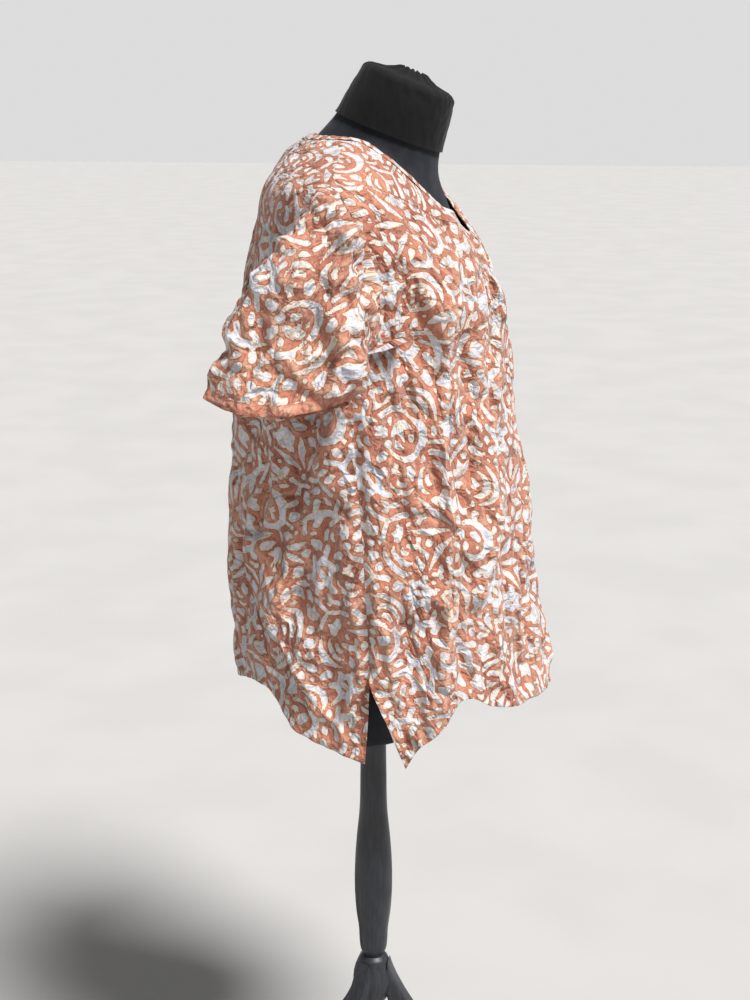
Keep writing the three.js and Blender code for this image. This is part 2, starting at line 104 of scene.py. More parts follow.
# Level sections of the cloth: half width, reaches to the front and back of the axis, and the seams' Y.
CLOTH_SECTIONS = table(
    "z width front back seam",
    (620, 206, 221, 162, -33),
    (651, 204, 217, 164, -33),
    (724, 199, 206, 169, -31),
    (811, 193, 192, 168, -27),
    (884, 188, 181, 166, -22),
    (968, 183, 168, 157, -13),
    (1051, 180, 157, 151, -8),
    (1132, 182, 142, 144, 0),
    (1194, 186, 115, 131, 8),
    (1210, 187, 101, 128, 9),
    (1241, 188, 76, 119, 11),
    (1255, 182, 66, 113, 12),
    (1275, 148, 52, 101, 14),
    (1288, 119, 40, 91, 15),
    (1300, 88, 25, 79, 15),
    (1312, 58, 5, 62, 15),
)
FRONT_HEM = table(
    "angle z",
    (0, 652), (16, 660), (32, 668), (44, 679), (54, 696),
    (59, 693), (64, 674), (69, 658), (73, 648), (78, 623),
)
BACK_HEM = table(
    "angle z",
    (92, 626), (102, 635), (112, 642), (120, 655), (129, 685),
    (137, 689), (148, 681), (160, 667), (180, 658),
)
NECKLINE = table(
    "angle z",
    (0, 1193), (6, 1198), (11, 1217), (22, 1250), (41, 1281),
    (60, 1296), (90, 1301), (130, 1302), (180, 1301),
)

# The large folds of the body: soft ridges (or troughs, with a height below 0) between two heights.
FOLDS = table(
    "high_z high_angle low_z low_angle height half_width",
    (1170, 40, 600, 68, 9, 7),
    (1120, 27, 780, 48, 6, 7),
    (1040, 108, 760, 84, 7, 8),
    (930, 152, 650, 104, 7, 8),
    (1180, -36, 600, -61, 8, 8),
    (1060, -112, 740, -90, 6, 8),
    (960, -150, 620, -122, 7, 9),
)

# Creases placed one by one on the body, where x is the angle and y is z: half width and height in mm.
CREASES = table(
    "from_x from_y to_x to_y half_width height",
    (12, 1225, 45, 1136, 6, 3.0),
    (45, 1140, 51, 1020, 6, 7.0),
    (51, 1030, 56, 900, 6, 7.0),
    (55, 915, 60, 800, 6, 7.5),
    (60, 812, 66, 660, 6, 8.0),
    (30, 1135, 20, 1050, 6, 4.5),
    (20, 1060, 27, 985, 6, 6.0),
    (26, 1000, 35, 875, 6, 6.5),
    (35, 880, 48, 800, 6, 6.0),
    (36, 1110, 40, 900, 14, -10.0),
    (60, 1150, 66, 1010, 10, -8.0),
    (48, 850, 55, 700, 10, -7.0),
    (74, 1060, 72, 900, 8, -6.0),
    (14, 1150, 10, 900, 9, 2.4),
    (8, 930, 16, 700, 8, -2.6),
    (24, 880, 30, 690, 8, -3.0),
    (70, 1030, 84, 880, 7, 3.6),
    (66, 900, 76, 740, 8, -3.6),
    (74, 830, 70, 700, 6, 3.0),
    (84, 780, 70, 640, 6, 2.8),
    (122, 1030, 99, 930, 8, 4.6),
    (112, 985, 93, 900, 8, -4.0),
    (142, 930, 118, 760, 8, 4.4),
    (150, 850, 112, 690, 8, -4.0),
    (132, 860, 104, 720, 7, 4.0),
    (124, 760, 98, 650, 6, 3.4),
    (140, 760, 120, 680, 6, 3.2),
    (160, 1000, 148, 760, 9, 3.4),
    (172, 960, 166, 720, 9, -3.2),
    (-14, 1140, -30, 940, 8, 3.2),
    (-30, 960, -44, 720, 8, 3.8),
    (-44, 1080, -52, 860, 7, -3.8),
    (-58, 900, -66, 680, 7, 4.0),
    (-72, 1010, -84, 840, 7, 3.4),
    (-18, 900, -14, 690, 8, -2.8),
    (-118, 1040, -100, 920, 8, 4.2),
    (-140, 940, -112, 740, 8, 4.2),
    (-152, 860, -120, 690, 8, -3.6),
    (-128, 780, -102, 660, 7, 3.4),
    (-165, 1020, -158, 760, 9, 3.2),
)

# The right sleeve's guiding rings: X = x + out cos t, Y = y - half sin t, Z = z + rise cos t, t = 0 on top.
SLEEVE_MIDDLE = dict(x=-220, out=-25, y=25, half=70, z=1142, rise=92)
SLEEVE_HEM = dict(x=-238, out=-34, y=62, half=78, z=1024, rise=8)
SLEEVE_CORNER_LIFT = 20.0

# Creases of the sleeve, where x is the turn in degrees and y is the share of its length from the armhole.
SLEEVE_CREASES = table(
    "from_x from_y to_x to_y half_width height",
    (-10, 0.02, 55, 0.30, 9, 7.0),
    (-40, 0.10, 40, 0.44, 8, -6.0),
    (20, 0.26, 88, 0.56, 8, 6.5),
    (46, 0.40, 100, 0.86, 7, 6.0),
    (78, 0.50, 112, 0.98, 6, -7.0),
    (60, 0.66, 104, 0.97, 6, 5.5),
    (30, 0.72, 80, 0.97, 6, -5.0),
    (-30, 0.34, 28, 0.70, 9, 5.5),
    (-50, 0.55, 10, 0.96, 8, -5.0),
    (-80, 0.40, -60, 0.95, 8, 5.0),
    (0, 0.52, 44, 0.84, 7, -5.0),
    (80, 0.06, 98, 0.50, 9, -11.0),
    (150, 0.30, 130, 0.90, 9, 4.0),
    (-130, 0.25, -112, 0.90, 9, 4.5),
)

# ---- sizes of the form and the stand ----

TORSO_SECTIONS = table(
    "z width front back seam",
    (621, 158, 98, 94, 0),
    (700, 170, 118, 116, 0),
    (790, 160, 114, 116, 0),
    (880, 130, 98, 86, 0),
    (960, 140, 114, 92, 0),
    (1040, 158, 138, 106, 0),
    (1100, 164, 130, 114, 0),
    (1160, 168, 116, 114, 0),
    (1200, 170, 100, 112, 6),
    (1220, 170, 86, 111, 9),
    (1241, 166, 70, 105, 11),
    (1258, 146, 54, 97, 12),
    (1275, 116, 42, 87, 14),
    (1288, 84, 28, 76, 15),
    (1298, 48, 6, 60, 18),
)
NECK_SECTIONS = table(
    "k front_y front_z back_y back_z width",
    (0, -102, 1190, 84, 1262, 84),
    (1, -87, 1225, 74, 1292, 72),
    (2, -75, 1258, 58, 1310, 60),
    (3, -76, 1286, 40, 1330, 56),
    (4, -84, 1318, 22, 1358, 54),
    (5, -89, 1340, 8, 1380, 50),
)
CUFF_THICKNESS = 2.9
# The cuff's top, from its rim at share 0 to its middle at 1.
CUFF_CROWN = table(
    "share lift",
    (0.0, 0.0), (0.03, 2.2), (0.08, 4.4), (0.16, 6.0), (0.3, 6.8), (0.45, 8.2),
    (0.6, 11.5), (0.7, 14.5), (0.76, 15.0), (0.8, 12.5), (0.86, 5.0), (0.92, 3.0),
)
COLUMN_PROFILE = table(
    "z radius",
    (0, 13), (8, 16.5), (19, 18), (36, 18.8), (65, 22.4), (91, 24),
    (116, 24.2), (140, 23.4), (166, 21.6), (205, 17.9), (263, 16.5), (358, 15.6),
)
HUB_PROFILE = table(
    "z radius",
    (0, 8), (3, 12.5), (6, 15), (14, 20), (66, 20), (70, 18),
    (74, 14),
)

# ---- tables and noise ----


def read_table(rows, key, column, place):
    """Reads a column of a table at places between its rows, on a smooth curve through them."""
    x = np.array([row[key] for row in rows], float)
    y = np.array([row[column] for row in rows], float)
    place = np.clip(np.asarray(place, float), x[0], x[-1])
    gap = np.diff(x)
    rate = np.diff(y) / gap
    slope = np.empty_like(x)
    slope[0], slope[-1] = rate[0], rate[-1]
    slope[1:-1] = (rate[:-1] * gap[1:] + rate[1:] * gap[:-1]) / (gap[:-1] + gap[1:])
    i = np.clip(np.searchsorted(x, place) - 1, 0, len(gap) - 1)
    t = (place - x[i]) / gap[i]
    rise = t * t * (3 - 2 * t)
    lead = t * (1 - t) ** 2 * slope[i] * gap[i]
    trail = t * t * (1 - t) * slope[i + 1] * gap[i]
    return y[i] * (1 - rise) + y[i + 1] * rise + lead - trail


def smoothstep(x, low, high):
    t = np.clip((x - low) / (high - low), 0, 1)
    return t * t * (3 - 2 * t)


def hashed(i, j, seed):
    """A number from 0 to 1 for each whole-number cell."""
    h = (i.astype(np.int64) * 374761393 + j.astype(np.int64) * 668265263 + seed * 974711) & 0xFFFFFFFF
    h = ((h ^ (h >> 13)) * 1274126177) & 0xFFFFFFFF
    h = ((h ^ (h >> 16)) * 2246822519) & 0xFFFFFFFF
    return ((h ^ (h >> 15)) & 0xFFFFFF) / float(0xFFFFFF)


def wave_noise(x, y, seed):
    """Smooth gradient noise from about -1 to 1, with a cell of 1."""
    i, j = np.floor(x), np.floor(y)
    fx, fy = x - i, y - j
    sx, sy = fx * fx * (3 - 2 * fx), fy * fy * (3 - 2 * fy)

    def corner(di, dj):
        turn = 2 * np.pi * hashed(i + di, j + dj, seed)
        return np.cos(turn) * (fx - di) + np.sin(turn) * (fy - dj)

    low = corner(0, 0) * (1 - sx) + corner(1, 0) * sx
    high = corner(0, 1) * (1 - sx) + corner(1, 1) * sx
    return 1.5 * (low * (1 - sy) + high * sy)


def facets(x, y, seed):
    """Heights from -1 to 1 at the corners of triangles of about a cell, flat between them."""
    i, j = np.floor(x), np.floor(y)
    fx, fy = x - i, y - j
    corner = [[2 * hashed(i + di, j + dj, seed) - 1 for dj in (0, 1)] for di in (0, 1)]
    (low_left, top_left), (low_right, top_right) = corner
    one_way = np.where(
        fx + fy < 1,
        low_left + fx * (low_right - low_left) + fy * (top_left - low_left),
        top_right + (1 - fx) * (top_left - top_right) + (1 - fy) * (low_right - top_right),
    )
    other_way = np.where(
        fx > fy,
        low_left + fx * (low_right - low_left) + fy * (top_right - low_right),
        low_left + fy * (top_left - low_left) + fx * (top_right - top_left),
    )
    return np.where(hashed(i, j, seed + 5) < 0.5, one_way, other_way)


def crumple(u, v, seed, tall):
    """Height in mm of crushed cotton over u and v in mm; tall stretches its creases along v."""

    def wander(first):
        wide = wave_noise(u / 60, v / (60 * tall), seed + first)
        return 13 * wide + 5 * wave_noise(u / 23, v / (23 * tall), seed + first + 1)

    x, y = u + wander(1), (v + wander(3)) / tall
    height = -10.0 * np.abs(wave_noise(x / 52, y / 90, seed + 5))
    height += 7.0 * np.abs(wave_noise((x + 0.5 * y) / 36, (y - 0.4 * x) / 56, seed + 6))
    for size, reach, turn in ((46, 9.0, 12), (27, 7.0, -22), (16, 3.8, 10), (9, 1.5, 50)):
        c, s = math.cos(math.radians(turn)), math.sin(math.radians(turn))
        height += reach * facets((c * x + s * y) / size, (c * y - s * x) / size, seed + int(size))
    strength = 0.7 + 0.5 * smoothstep(wave_noise(u / 120, v / 120, seed + 7), -0.5, 0.6)
    return height * strength


def crests(points):
    """How sharply a grid bends outwards at each point, from 0 to 1."""
    normals = grid_normals(points)
    bend = np.zeros(points.shape[:2])
    for axis in (0, 1):
        ahead = np.roll(points, -1, axis=axis) + np.roll(points, 1, axis=axis) - 2 * points
        bend -= (ahead * normals).sum(-1)
    bend[0], bend[-1], bend[:, 0], bend[:, -1] = 0, 0, 0, 0
    return np.clip(bend / 1.1, 0, 1)


# ---- the print ----

TILE_WIDTH = 396.0
TILE_HEIGHT = 432.0
TILE_STEP = 1.2
STROKE = 4.9
MOTIF_GAP = 5.2
PRINT_SCALE = 0.8


def bow(x, y, radius, start, sweep, ends, swell):
    """A curved stroke: capsules whose half width goes from ends to swell at the middle and back."""
    steps = max(4, int(abs(sweep) * radius / 500))
    points = []
    for k in range(steps + 1):
        t = k / steps
        angle = math.radians(start + sweep * t)
        thick = ends + (swell - ends) * math.sin(math.pi * t)
        points.append((x + radius * math.cos(angle), y + radius * math.sin(angle), thick))
    return [(*a, *b) for a, b in zip(points[:-1], points[1:])]


def ray(x, y, turn, start, end, thick, tip):
    dx, dy = math.cos(math.radians(turn)), math.sin(math.radians(turn))
    return (x + start * dx, y + start * dy, thick, x + end * dx, y + end * dy, tip)


def feather(x, y, turn, size):
    """A fan of nested curved strokes."""
    parts = []
    for k in range(max(2, round(size / 12.5))):
        parts += bow(x, y, 7 + 12.5 * k, turn - 80 + 9 * k, 160 - 16 * k, 1.2, STROKE * (0.8 + 0.08 * k))
    return parts


def curl(x, y, turn, size):
    """A stroke that winds in to a round end, with three small leaves on its back."""
    steps = 14
    points = []
    for k in range(steps + 1):
        t = k / steps
        angle = math.radians(turn + 290 * t)
        radius = size * (1.05 - 0.66 * t)
        thick = STROKE * (0.3 + 0.85 * math.sin(math.pi * min(1, 0.15 + 0.9 * t)))
        points.append((x + radius * math.cos(angle), y + radius * math.sin(angle), thick))
    parts = [(*a, *b) for a, b in zip(points[:-1], points[1:])]
    parts.append((*points[-1][:2], STROKE * 1.3, *points[-1][:2], STROKE * 1.3))
    for lean in (50, 92, 134):
        parts.append(ray(x, y, turn + lean, size * 0.95, size * 1.42, 2.6, 4.4))
    return parts


def rosette(x, y, turn, size):
    """A ring round seed-shaped petals, in a half wreath."""
    parts = bow(x, y, size * 0.56, turn, 300, 1.8, 3.6)
    for k in range(6):
        parts.append(ray(x, y, turn + 60 * k, size * 0.17, size * 0.34, 1.3, 3.0))
    parts += bow(x, y, size * 0.98, turn + 30, 140, 1.2, STROKE)
    return parts


def antler(x, y, turn, size):
    """A bent twig with drop-shaped branches."""
    bend = 1.6 * size
    cx, cy = ray(x, y, turn + 90, bend, bend, 0, 0)[:2]
    parts = bow(cx, cy, bend, turn - 90 - 34, 68, 1.6, STROKE * 1.1)
    for k in range(5):
        heading = turn - 90 - 26 + 13 * k
        bx, by = ray(cx, cy, heading, bend, bend, 0, 0)[:2]
        side = 0 if k % 2 else 180
        parts.append(ray(bx, by, heading + side + 34, 0, size * 0.5, 2.6, 4.8))
    return parts


def leaves(x, y, turn, size):
    """Three pointed leaves that spread from one end."""
    parts = []
    for lean in (-40, 0, 38):
        sx, sy = ray(x, y, turn, -size * 0.7, -size * 0.7, 0, 0)[:2]
        middle = ray(sx, sy, turn + lean, size * 0.25, size * 0.8, 1.4, 5.4)
        parts.append(middle)
        ex, ey = ray(sx, sy, turn + lean * 1.2, size * 1.45, size * 1.45, 0, 0)[:2]
        parts.append((*middle[3:5], 5.4, ex, ey, 0.8))
    return parts


def net(x, y, turn, size):
    """Joined blobs that leave small holes between them."""
    parts = []
    for k in range(6):
        here = ray(x, y, turn + 60 * k, size * 0.5, size * 0.5, 0, 0)[:2]
        ahead = ray(x, y, turn + 60 * (k + 1), size * 0.5, size * 0.5, 0, 0)[:2]
        parts.append((*here, 5.6, *ahead, 4.0))
        parts.append(ray(x, y, turn + 60 * k + 14, size * 0.5, size * (0.8 + 0.2 * (k % 2)), 4.4, 5.0))
    parts.append(ray(x, y, turn + 20, -size * 0.4, size * 0.4, 3.4, 4.4))
    return parts


def fork(x, y, turn, size):
    """Three drops that meet at their thin ends."""
    return [ray(x, y, turn + lean, 0, size * 0.85, 2.8, 5.0) for lean in (0, 104, 236)]


def bean(x, y, turn, size):
    ax, ay, _, bx, by, _ = ray(x, y, turn, -size * 0.45, size * 0.45, 0, 0)
    return [(ax, ay, size * 0.62, x, y, size * 0.5), (x, y, size * 0.5, bx, by, size * 0.4)]


def capsule_distance(x, y, capsule):
    """Distance in mm to a stroke with round ends, below 0 inside; the repeat wraps round."""
    ax, ay, ar, bx, by, br = capsule
    mx, my = (ax + bx) / 2, (ay + by) / 2
    px = (x - mx + TILE_WIDTH / 2) % TILE_WIDTH - TILE_WIDTH / 2 + mx - ax
    py = (y - my + TILE_HEIGHT / 2) % TILE_HEIGHT - TILE_HEIGHT / 2 + my - ay
    dx, dy = bx - ax, by - ay
    size = max(dx * dx + dy * dy, 1e-9)
    t = np.clip((px * dx + py * dy) / size, 0, 1)
    return np.hypot(px - t * dx, py - t * dy) - (ar + (br - ar) * t)


LARGE_MOTIFS = [
    feather, antler, curl, feather, net, leaves, feather, antler, rosette, feather, curl, net, feather,
]
MEDIUM_MOTIFS = [leaves, antler, fork, curl, leaves, net, fork, feather]
SMALL_MOTIFS = [bean, fork, bean, leaves, bean]
GRID_COLUMNS, GRID_ROWS = 4, 5


def print_tile():
    """Distances to the white motifs over one repeat; each motif is cut back from those before it."""
    x, y = np.meshgrid(np.arange(0, TILE_WIDTH, TILE_STEP), np.arange(0, TILE_HEIGHT, TILE_STEP))
    field = np.full(x.shape, 60.0)

    def place(motif, mx, my, turn, size):
        nonlocal field
        own = np.full(x.shape, 60.0)
        for capsule in motif(mx, my, turn, size):
            away = capsule_distance(x, y, capsule)
            near = np.clip(0.5 + 0.5 * (own - away) / 2.5, 0, 1)
            own = own * (1 - near) + away * near - 1.25 * near * (1 - near)
        field = np.minimum(field, np.maximum(own, MOTIF_GAP - field))

    for k in range(GRID_COLUMNS * GRID_ROWS):
        row, column = divmod(k, GRID_COLUMNS)
        cell = np.array([k]), np.array([row])
        mx = (column + 0.5 * (row % 2) + 0.34 * hashed(*cell, 3)[0]) * TILE_WIDTH / GRID_COLUMNS
        my = (row + 0.34 * hashed(*cell, 4)[0]) * TILE_HEIGHT / GRID_ROWS
        motif = LARGE_MOTIFS[k % len(LARGE_MOTIFS)]
        place(motif, mx, my, 360 * hashed(*cell, 5)[0], 30 + 10 * hashed(*cell, 6)[0])
    for k in range(240):
        spot = np.unravel_index(np.argmax(field), field.shape)
        room = field[spot]
        turn = 137.5 * k
        if room > 15:
            place(MEDIUM_MOTIFS[k % len(MEDIUM_MOTIFS)], x[spot], y[spot], turn, 1.05 * room)
        elif room > 9:
            place(SMALL_MOTIFS[k % len(SMALL_MOTIFS)], x[spot], y[spot], turn, 0.95 * room)
        elif room > MOTIF_GAP + 2.2:
            place(bean, x[spot], y[spot], turn, 1.4 * (room - MOTIF_GAP + 0.6))
        else:
            break
    return field


PRINT_FIELD = print_tile()


def print_distance(u, v):
    """The print's distance field at cloth places u, v in mm."""
    u, v = u / PRINT_SCALE, v / PRINT_SCALE
    rows, columns = PRINT_FIELD.shape
    wide, fine = 5.0, 1.1
    gx = (u + wide * wave_noise(u / 48, v / 48, 91) + fine * wave_noise(u / 11, v / 11, 93)) / TILE_STEP
    gy = (v + wide * wave_noise(u / 48, v / 48, 92) + fine * wave_noise(u / 11, v / 11, 94)) / TILE_STEP
    i, j = np.floor(gx).astype(int), np.floor(gy).astype(int)
    fx, fy = gx - i, gy - j

    def at(di, dj):
        return PRINT_FIELD[(j + dj) % rows, (i + di) % columns]

    low = at(0, 0) * (1 - fx) + at(1, 0) * fx
    high = at(0, 1) * (1 - fx) + at(1, 1) * fx
    return PRINT_SCALE * (low * (1 - fy) + high * fy)


# ---- surfaces ----


def section_point(rows, angle, z):
    """Points on level sections, as an array whose last axis is X, Y, Z in mm."""
    width = read_table(rows, "z", "width", z)
    seam = read_table(rows, "z", "seam", z)
    across = np.sin(np.radians(angle))
    along = np.cos(np.radians(angle))
    to_front = -read_table(rows, "z", "front", z) - seam
    to_back = seam - read_table(rows, "z", "back", z)
    reach = np.where(along > 0, to_front, to_back)
    return np.stack([-width * across, seam + reach * along, z + 0 * across], -1)


def fold_lift(angle, z):
    """How far in mm the large folds lift the cloth."""
    turned = (angle + 180) % 360 - 180
    lift = np.zeros(np.shape(z))
    for fold in FOLDS:
        along = (z - fold["low_z"]) / (fold["high_z"] - fold["low_z"])
        centre = fold["low_angle"] + (fold["high_angle"] - fold["low_angle"]) * along
        side = (turned - centre) / fold["half_width"]
        fade = smoothstep(along, -0.1, 0.15) * (1 - smoothstep(along, 0.7, 1.05))
        lift += fold["height"] * fade * np.exp(-side * side)
    return lift


def cloth_point(angle, z):
    turn = np.radians(angle)
    lift = fold_lift(angle, z)
    outward = np.stack([-np.sin(turn), -np.cos(turn), 0 * turn], -1)
    return section_point(CLOTH_SECTIONS, angle, z) + outward * lift[..., None]


def crease_reach(crease, x, y, scale_x, scale_y):
    """Distance in mm from a crease's line, above 0 on one side, and 1 along it down to 0 past its ends."""
    ax, ay = crease["from_x"] * scale_x, crease["from_y"] * scale_y
    bx, by = crease["to_x"] * scale_x, crease["to_y"] * scale_y
    dx, dy = bx - ax, by - ay
    length = math.hypot(dx, dy)
    px, py = x * scale_x - ax, y * scale_y - ay
    t = (px * dx + py * dy) / length ** 2
    away = (px * dy - py * dx) / length
    away = away + 5 * wave_noise(t * length / 40, 0 * t + ax / 50, int(abs(ax + ay)))
    return away, smoothstep(t, -0.12, 0.15) * (1 - smoothstep(t, 0.85, 1.12))


def crease_height(creases, x, y, scale_x, scale_y):
    """Sum of single creases: each a sharp-topped ridge, steeper on one side, that fades out at both ends."""
    height = np.zeros(np.shape(x))
    for crease in creases:
        away, fade = crease_reach(crease, x, y, scale_x, scale_y)
        lean = np.where(away > 0, 0.9, 3.0)
        ridge = np.exp(-np.sqrt((away / (lean * crease["half_width"])) ** 2 + 0.01))
        height += crease["height"] * 1.25 * ridge * fade
    return height


def pressed_lines(creases, x, y, scale_x, scale_y):
    """1 on the tops of the raised creases, where the colour is painted pale, partly as worn dye and partly as
    a painted highlight, and 0 off them.
    """
    lines = np.zeros(np.shape(x))
    for crease in creases:
        if crease["height"] > 0:
            away, fade = crease_reach(crease, x, y, scale_x, scale_y)
            lines = np.maximum(lines, fade * np.exp(-(away / 1.7) ** 2))
    return lines


def grid_normals(points):
    """Outward normals of a grid whose rows run up and whose columns run to the wearer's right."""
    up = np.gradient(points, axis=0)
    side = np.gradient(points, axis=1)
    normal = np.cross(up, side)
    return normal / np.maximum(np.linalg.norm(normal, axis=-1, keepdims=True), 1e-9)


def run_lengths(points, axis):
    """Lengths along the grid's rows or columns, starting at 0."""
    steps = np.linalg.norm(np.diff(points, axis=axis), axis=-1)
    start = np.zeros_like(np.take(steps, [0], axis=axis))
    return np.cumsum(np.concatenate([start, steps], axis=axis), axis=axis)


def make_mesh(name, points, faces, attributes):
    """A mesh object from points in mm round the column's axis."""
    mesh = bpy.data.meshes.new(name)
    mesh.from_pydata(((points + AXIS) * MM).tolist(), [], faces)
    for label, values in attributes.items():
        layer = mesh.attributes.new(label, "FLOAT", "POINT")
        layer.data.foreach_set("value", values.astype(np.float32))
    mesh.polygons.foreach_set("use_smooth", [True] * len(mesh.polygons))
    mesh.set_sharp_from_angle(angle=math.radians(SHARP_ANGLE))
    mesh.update()
    obj = bpy.data.objects.new(name, mesh)
    bpy.context.scene.collection.objects.link(obj)
    return obj


def grid_faces(rows, columns, close_columns=False, keep=None):
    last = columns if close_columns else columns - 1
    faces = []
    for row in range(rows - 1):
        for column in range(last):
            if keep is not None and not keep[row][column]:
                continue
            ahead = (column + 1) % columns
            a, b = row * columns + column, row * columns + ahead
            faces.append((a, b, b + columns, a + columns))
    return faces


# ---- the shirt's panels ----


def edge_rows(hem_corner, slit_spread):
    """Edge heights and spreads, in degrees from the side, for rows about a cell apart."""
    slit = np.linspace(hem_corner, SLIT_TOP, int((SLIT_TOP - hem_corner) / CELL), endpoint=False)
    side = np.linspace(SLIT_TOP, UNDERARM, int((UNDERARM - SLIT_TOP) / CELL), endpoint=False)
    turn = np.linspace(0, np.pi, 76, endpoint=False)
    arm = UNDERARM + (SHOULDER_TIP - UNDERARM) * (1 - np.cos(turn)) / 2
    shoulder = np.linspace(SHOULDER_TIP, NECK_POINT, 44)
    middle, reach = (UNDERARM + SHOULDER_TIP) / 2, (SHOULDER_TIP - UNDERARM) / 2
    arm_spread = ARMHOLE_SPREAD * np.sqrt(np.clip(1 - ((arm - middle) / reach) ** 2, 0, 1))
    z = np.concatenate([slit, side, arm, shoulder])
    spread = np.concatenate([
        slit_spread * (SLIT_TOP - slit) / (SLIT_TOP - hem_corner),
        0 * side,
        arm_spread,
        0 * shoulder,
    ])
    return z, spread


def hem_and_seam_turns(points, normals, u, v):
    """Adds the hem's turned-up rows below and the seam allowances beside a panel's grid."""
    count = int(HEM_TURN / CELL)
    steps = np.arange(count, 0, -1)
    inner = points[steps] - CLOTH_FOLD * normals[steps]
    roll = points[:1] - 0.5 * CLOTH_FOLD * normals[:1]
    roll[..., 2] -= 0.4
    points = np.concatenate([inner, roll, points])
    normals = np.concatenate([normals[steps], normals[:1], normals])
    u = np.concatenate([u[steps], u[:1], u])
    v = np.concatenate([v[steps], v[:1], v])
    count = int(SEAM_TURN / CELL)
    left = np.arange(count, 0, -1)
    right = -1 - np.arange(1, count + 1)
    left_turn = points[:, left] - CLOTH_FOLD * normals[:, left]
    right_turn = points[:, right] - CLOTH_FOLD * normals[:, right]
    points = np.concatenate([left_turn, points, right_turn], axis=1)
    u = np.concatenate([u[:, left], u, u[:, right]], axis=1)
    v = np.concatenate([v[:, left], v, v[:, right]], axis=1)
    return points, u, v, count


def panel(name, hem, hem_corner, slit_spread, angle_of, shares, seed, print_shift, keyhole):
    """One panel of the body as a sheet with its folds, creases and print."""
    edge_z, spread = edge_rows(hem_corner, slit_spread)
    angle = angle_of(shares[None, :], spread[:, None])
    hem_angle = np.abs((angle_of(shares, spread[0]) + 180) % 360 - 180)
    top_angle = np.abs((angle_of(shares, 0.0) + 180) % 360 - 180)
    hem_z = read_table(hem, "angle", "z", hem_angle)
    top_z = read_table(NECKLINE, "angle", "z", top_angle)
    climb = ((edge_z - hem_corner) / (NECK_POINT - hem_corner))[:, None]
    z = hem_z[None, :] * (1 - climb) + top_z[None, :] * climb
    points = cloth_point(angle, z)
    normals = grid_normals(points)
    middle = len(shares) // 2
    u = run_lengths(points, 1)
    u = u - u[:, middle:middle + 1]
    reference = int(np.searchsorted(edge_z, UNDERARM))
    v = run_lengths(points, 0)
    v = v - v[reference:reference + 1] + z[reference:reference + 1]

    near_form = smoothstep(z, 1140, 1230)
    near_top = smoothstep(z, 1150, 1290)
    from_edge = np.minimum(u - u[:, :1], u[:, -1:] - u)
    bumps = crumple(u, v, seed, 2.3) * (1.0 - 0.45 * near_form)
    turned = (angle + 180) % 360 - 180
    bumps += BODY_CREASE_GAIN * crease_height(CREASES, turned, z, *BODY_CREASE_SCALES)
    hem_distance = run_lengths(points, 0)
    bumps *= 0.35 + 0.65 * smoothstep(hem_distance, 0, 26)
    bumps += 1.3 * wave_noise(u / 16, v / 60, seed + 40) * (1 - smoothstep(hem_distance, 12, 40))
    bumps -= 0.7 * np.exp(-((hem_distance - HEM_TURN) / 1.6) ** 2)
    sewn = smoothstep(z, SLIT_TOP - 10, SLIT_TOP + 20)
    bumps *= 1 - sewn * (1 - smoothstep(from_edge, 0, 15))
    pucker = np.exp(-(from_edge / 4.5) ** 2) * sewn
    bumps -= pucker * (z < UNDERARM)
    beside_seam = np.exp(-((from_edge - 7) / 6) ** 2) * sewn
    bumps += beside_seam * 0.7 * np.sin(v / 3.1 + 3 * wave_noise(v / 30, u / 30, 5))
    from_top = hem_distance[-1:] - hem_distance
    bumps *= smoothstep(from_top, 2, 18) * (1 - 0.25 * near_top)
    deepest = -0.3 - 1.9 * (1 - smoothstep(z, 1150, 1190)) - 14 * (1 - smoothstep(z, 1070, 1170))
    bumps = np.clip(bumps, deepest, BODY_RELIEF_OUT)
    points = points + normals * bumps[..., None]

    rows, columns = angle.shape
    open_share = np.zeros((rows, 1))
    if keyhole:
        from_top = run_lengths(points[::-1], 0)[::-1][:, middle]
        open_share = np.clip(1 - from_top / KEYHOLE_DEPTH, 0, 1) ** 0.6
        fade = np.exp(-np.abs(u) / 9.0)
        side = np.where(np.arange(columns) < middle, 1.0, -1.0)
        points[..., 0] += side[None, :] * open_share[:, None] * fade * KEYHOLE_WIDTH / 2
        points[..., 1] -= 0.8 * open_share[:, None] * fade
    # the crest attribute marks where the colour is painted paler: a painted highlight on every outward bend,
    # and on the pressed creases' tops, partly worn dye too
    crest = np.maximum(crests(points), pressed_lines(CREASES, turned, z, *BODY_CREASE_SCALES))
    normals = grid_normals(points)
    points, u, v, side_columns = hem_and_seam_turns(points, normals, u, v)
    crest = np.pad(crest, ((len(points) - rows, 0), (side_columns, side_columns)))
    extra = len(points) - rows
    rows, columns = points.shape[:2]
    keep = np.ones((rows - 1, columns - 1), bool)
    if keyhole:
        slit_column = side_columns + middle - 1
        first_open = extra + int(np.argmax(open_share > 0))
        keep[:, slit_column] = False
    faces = grid_faces(rows, columns, keep=keep)
    if keyhole:
        lower = np.arange(rows) < first_open
        left_corners = np.nonzero(lower)[0] * columns + slit_column
        weld = {corner + 1: corner for corner in left_corners}
        faces = [tuple(weld.get(corner, corner) for corner in face) for face in faces]
    used = np.zeros(rows * columns, bool)
    used[np.unique(np.array(faces))] = True
    renumber = np.cumsum(used) - 1
    faces = [tuple(int(renumber[corner]) for corner in face) for face in faces]
    u, v, crest = (values.reshape(-1)[used] for values in (u, v, crest))
    pattern = print_distance(u + print_shift[0], v + print_shift[1])
    attributes = {"print": pattern, "cloth_u": u * MM, "cloth_v": v * MM, "crest": crest}
    return make_mesh(name, points.reshape(-1, 3)[used], faces, attributes)


def panel_shares(doubled_middle):
    """Column shares from the wearer's left edge to the right; the keyhole's edge columns are doubled."""
    half = np.linspace(0, 1, 132)
    if doubled_middle:
        return np.concatenate([-half[::-1], half])
    return np.concatenate([-half[:0:-1], half])


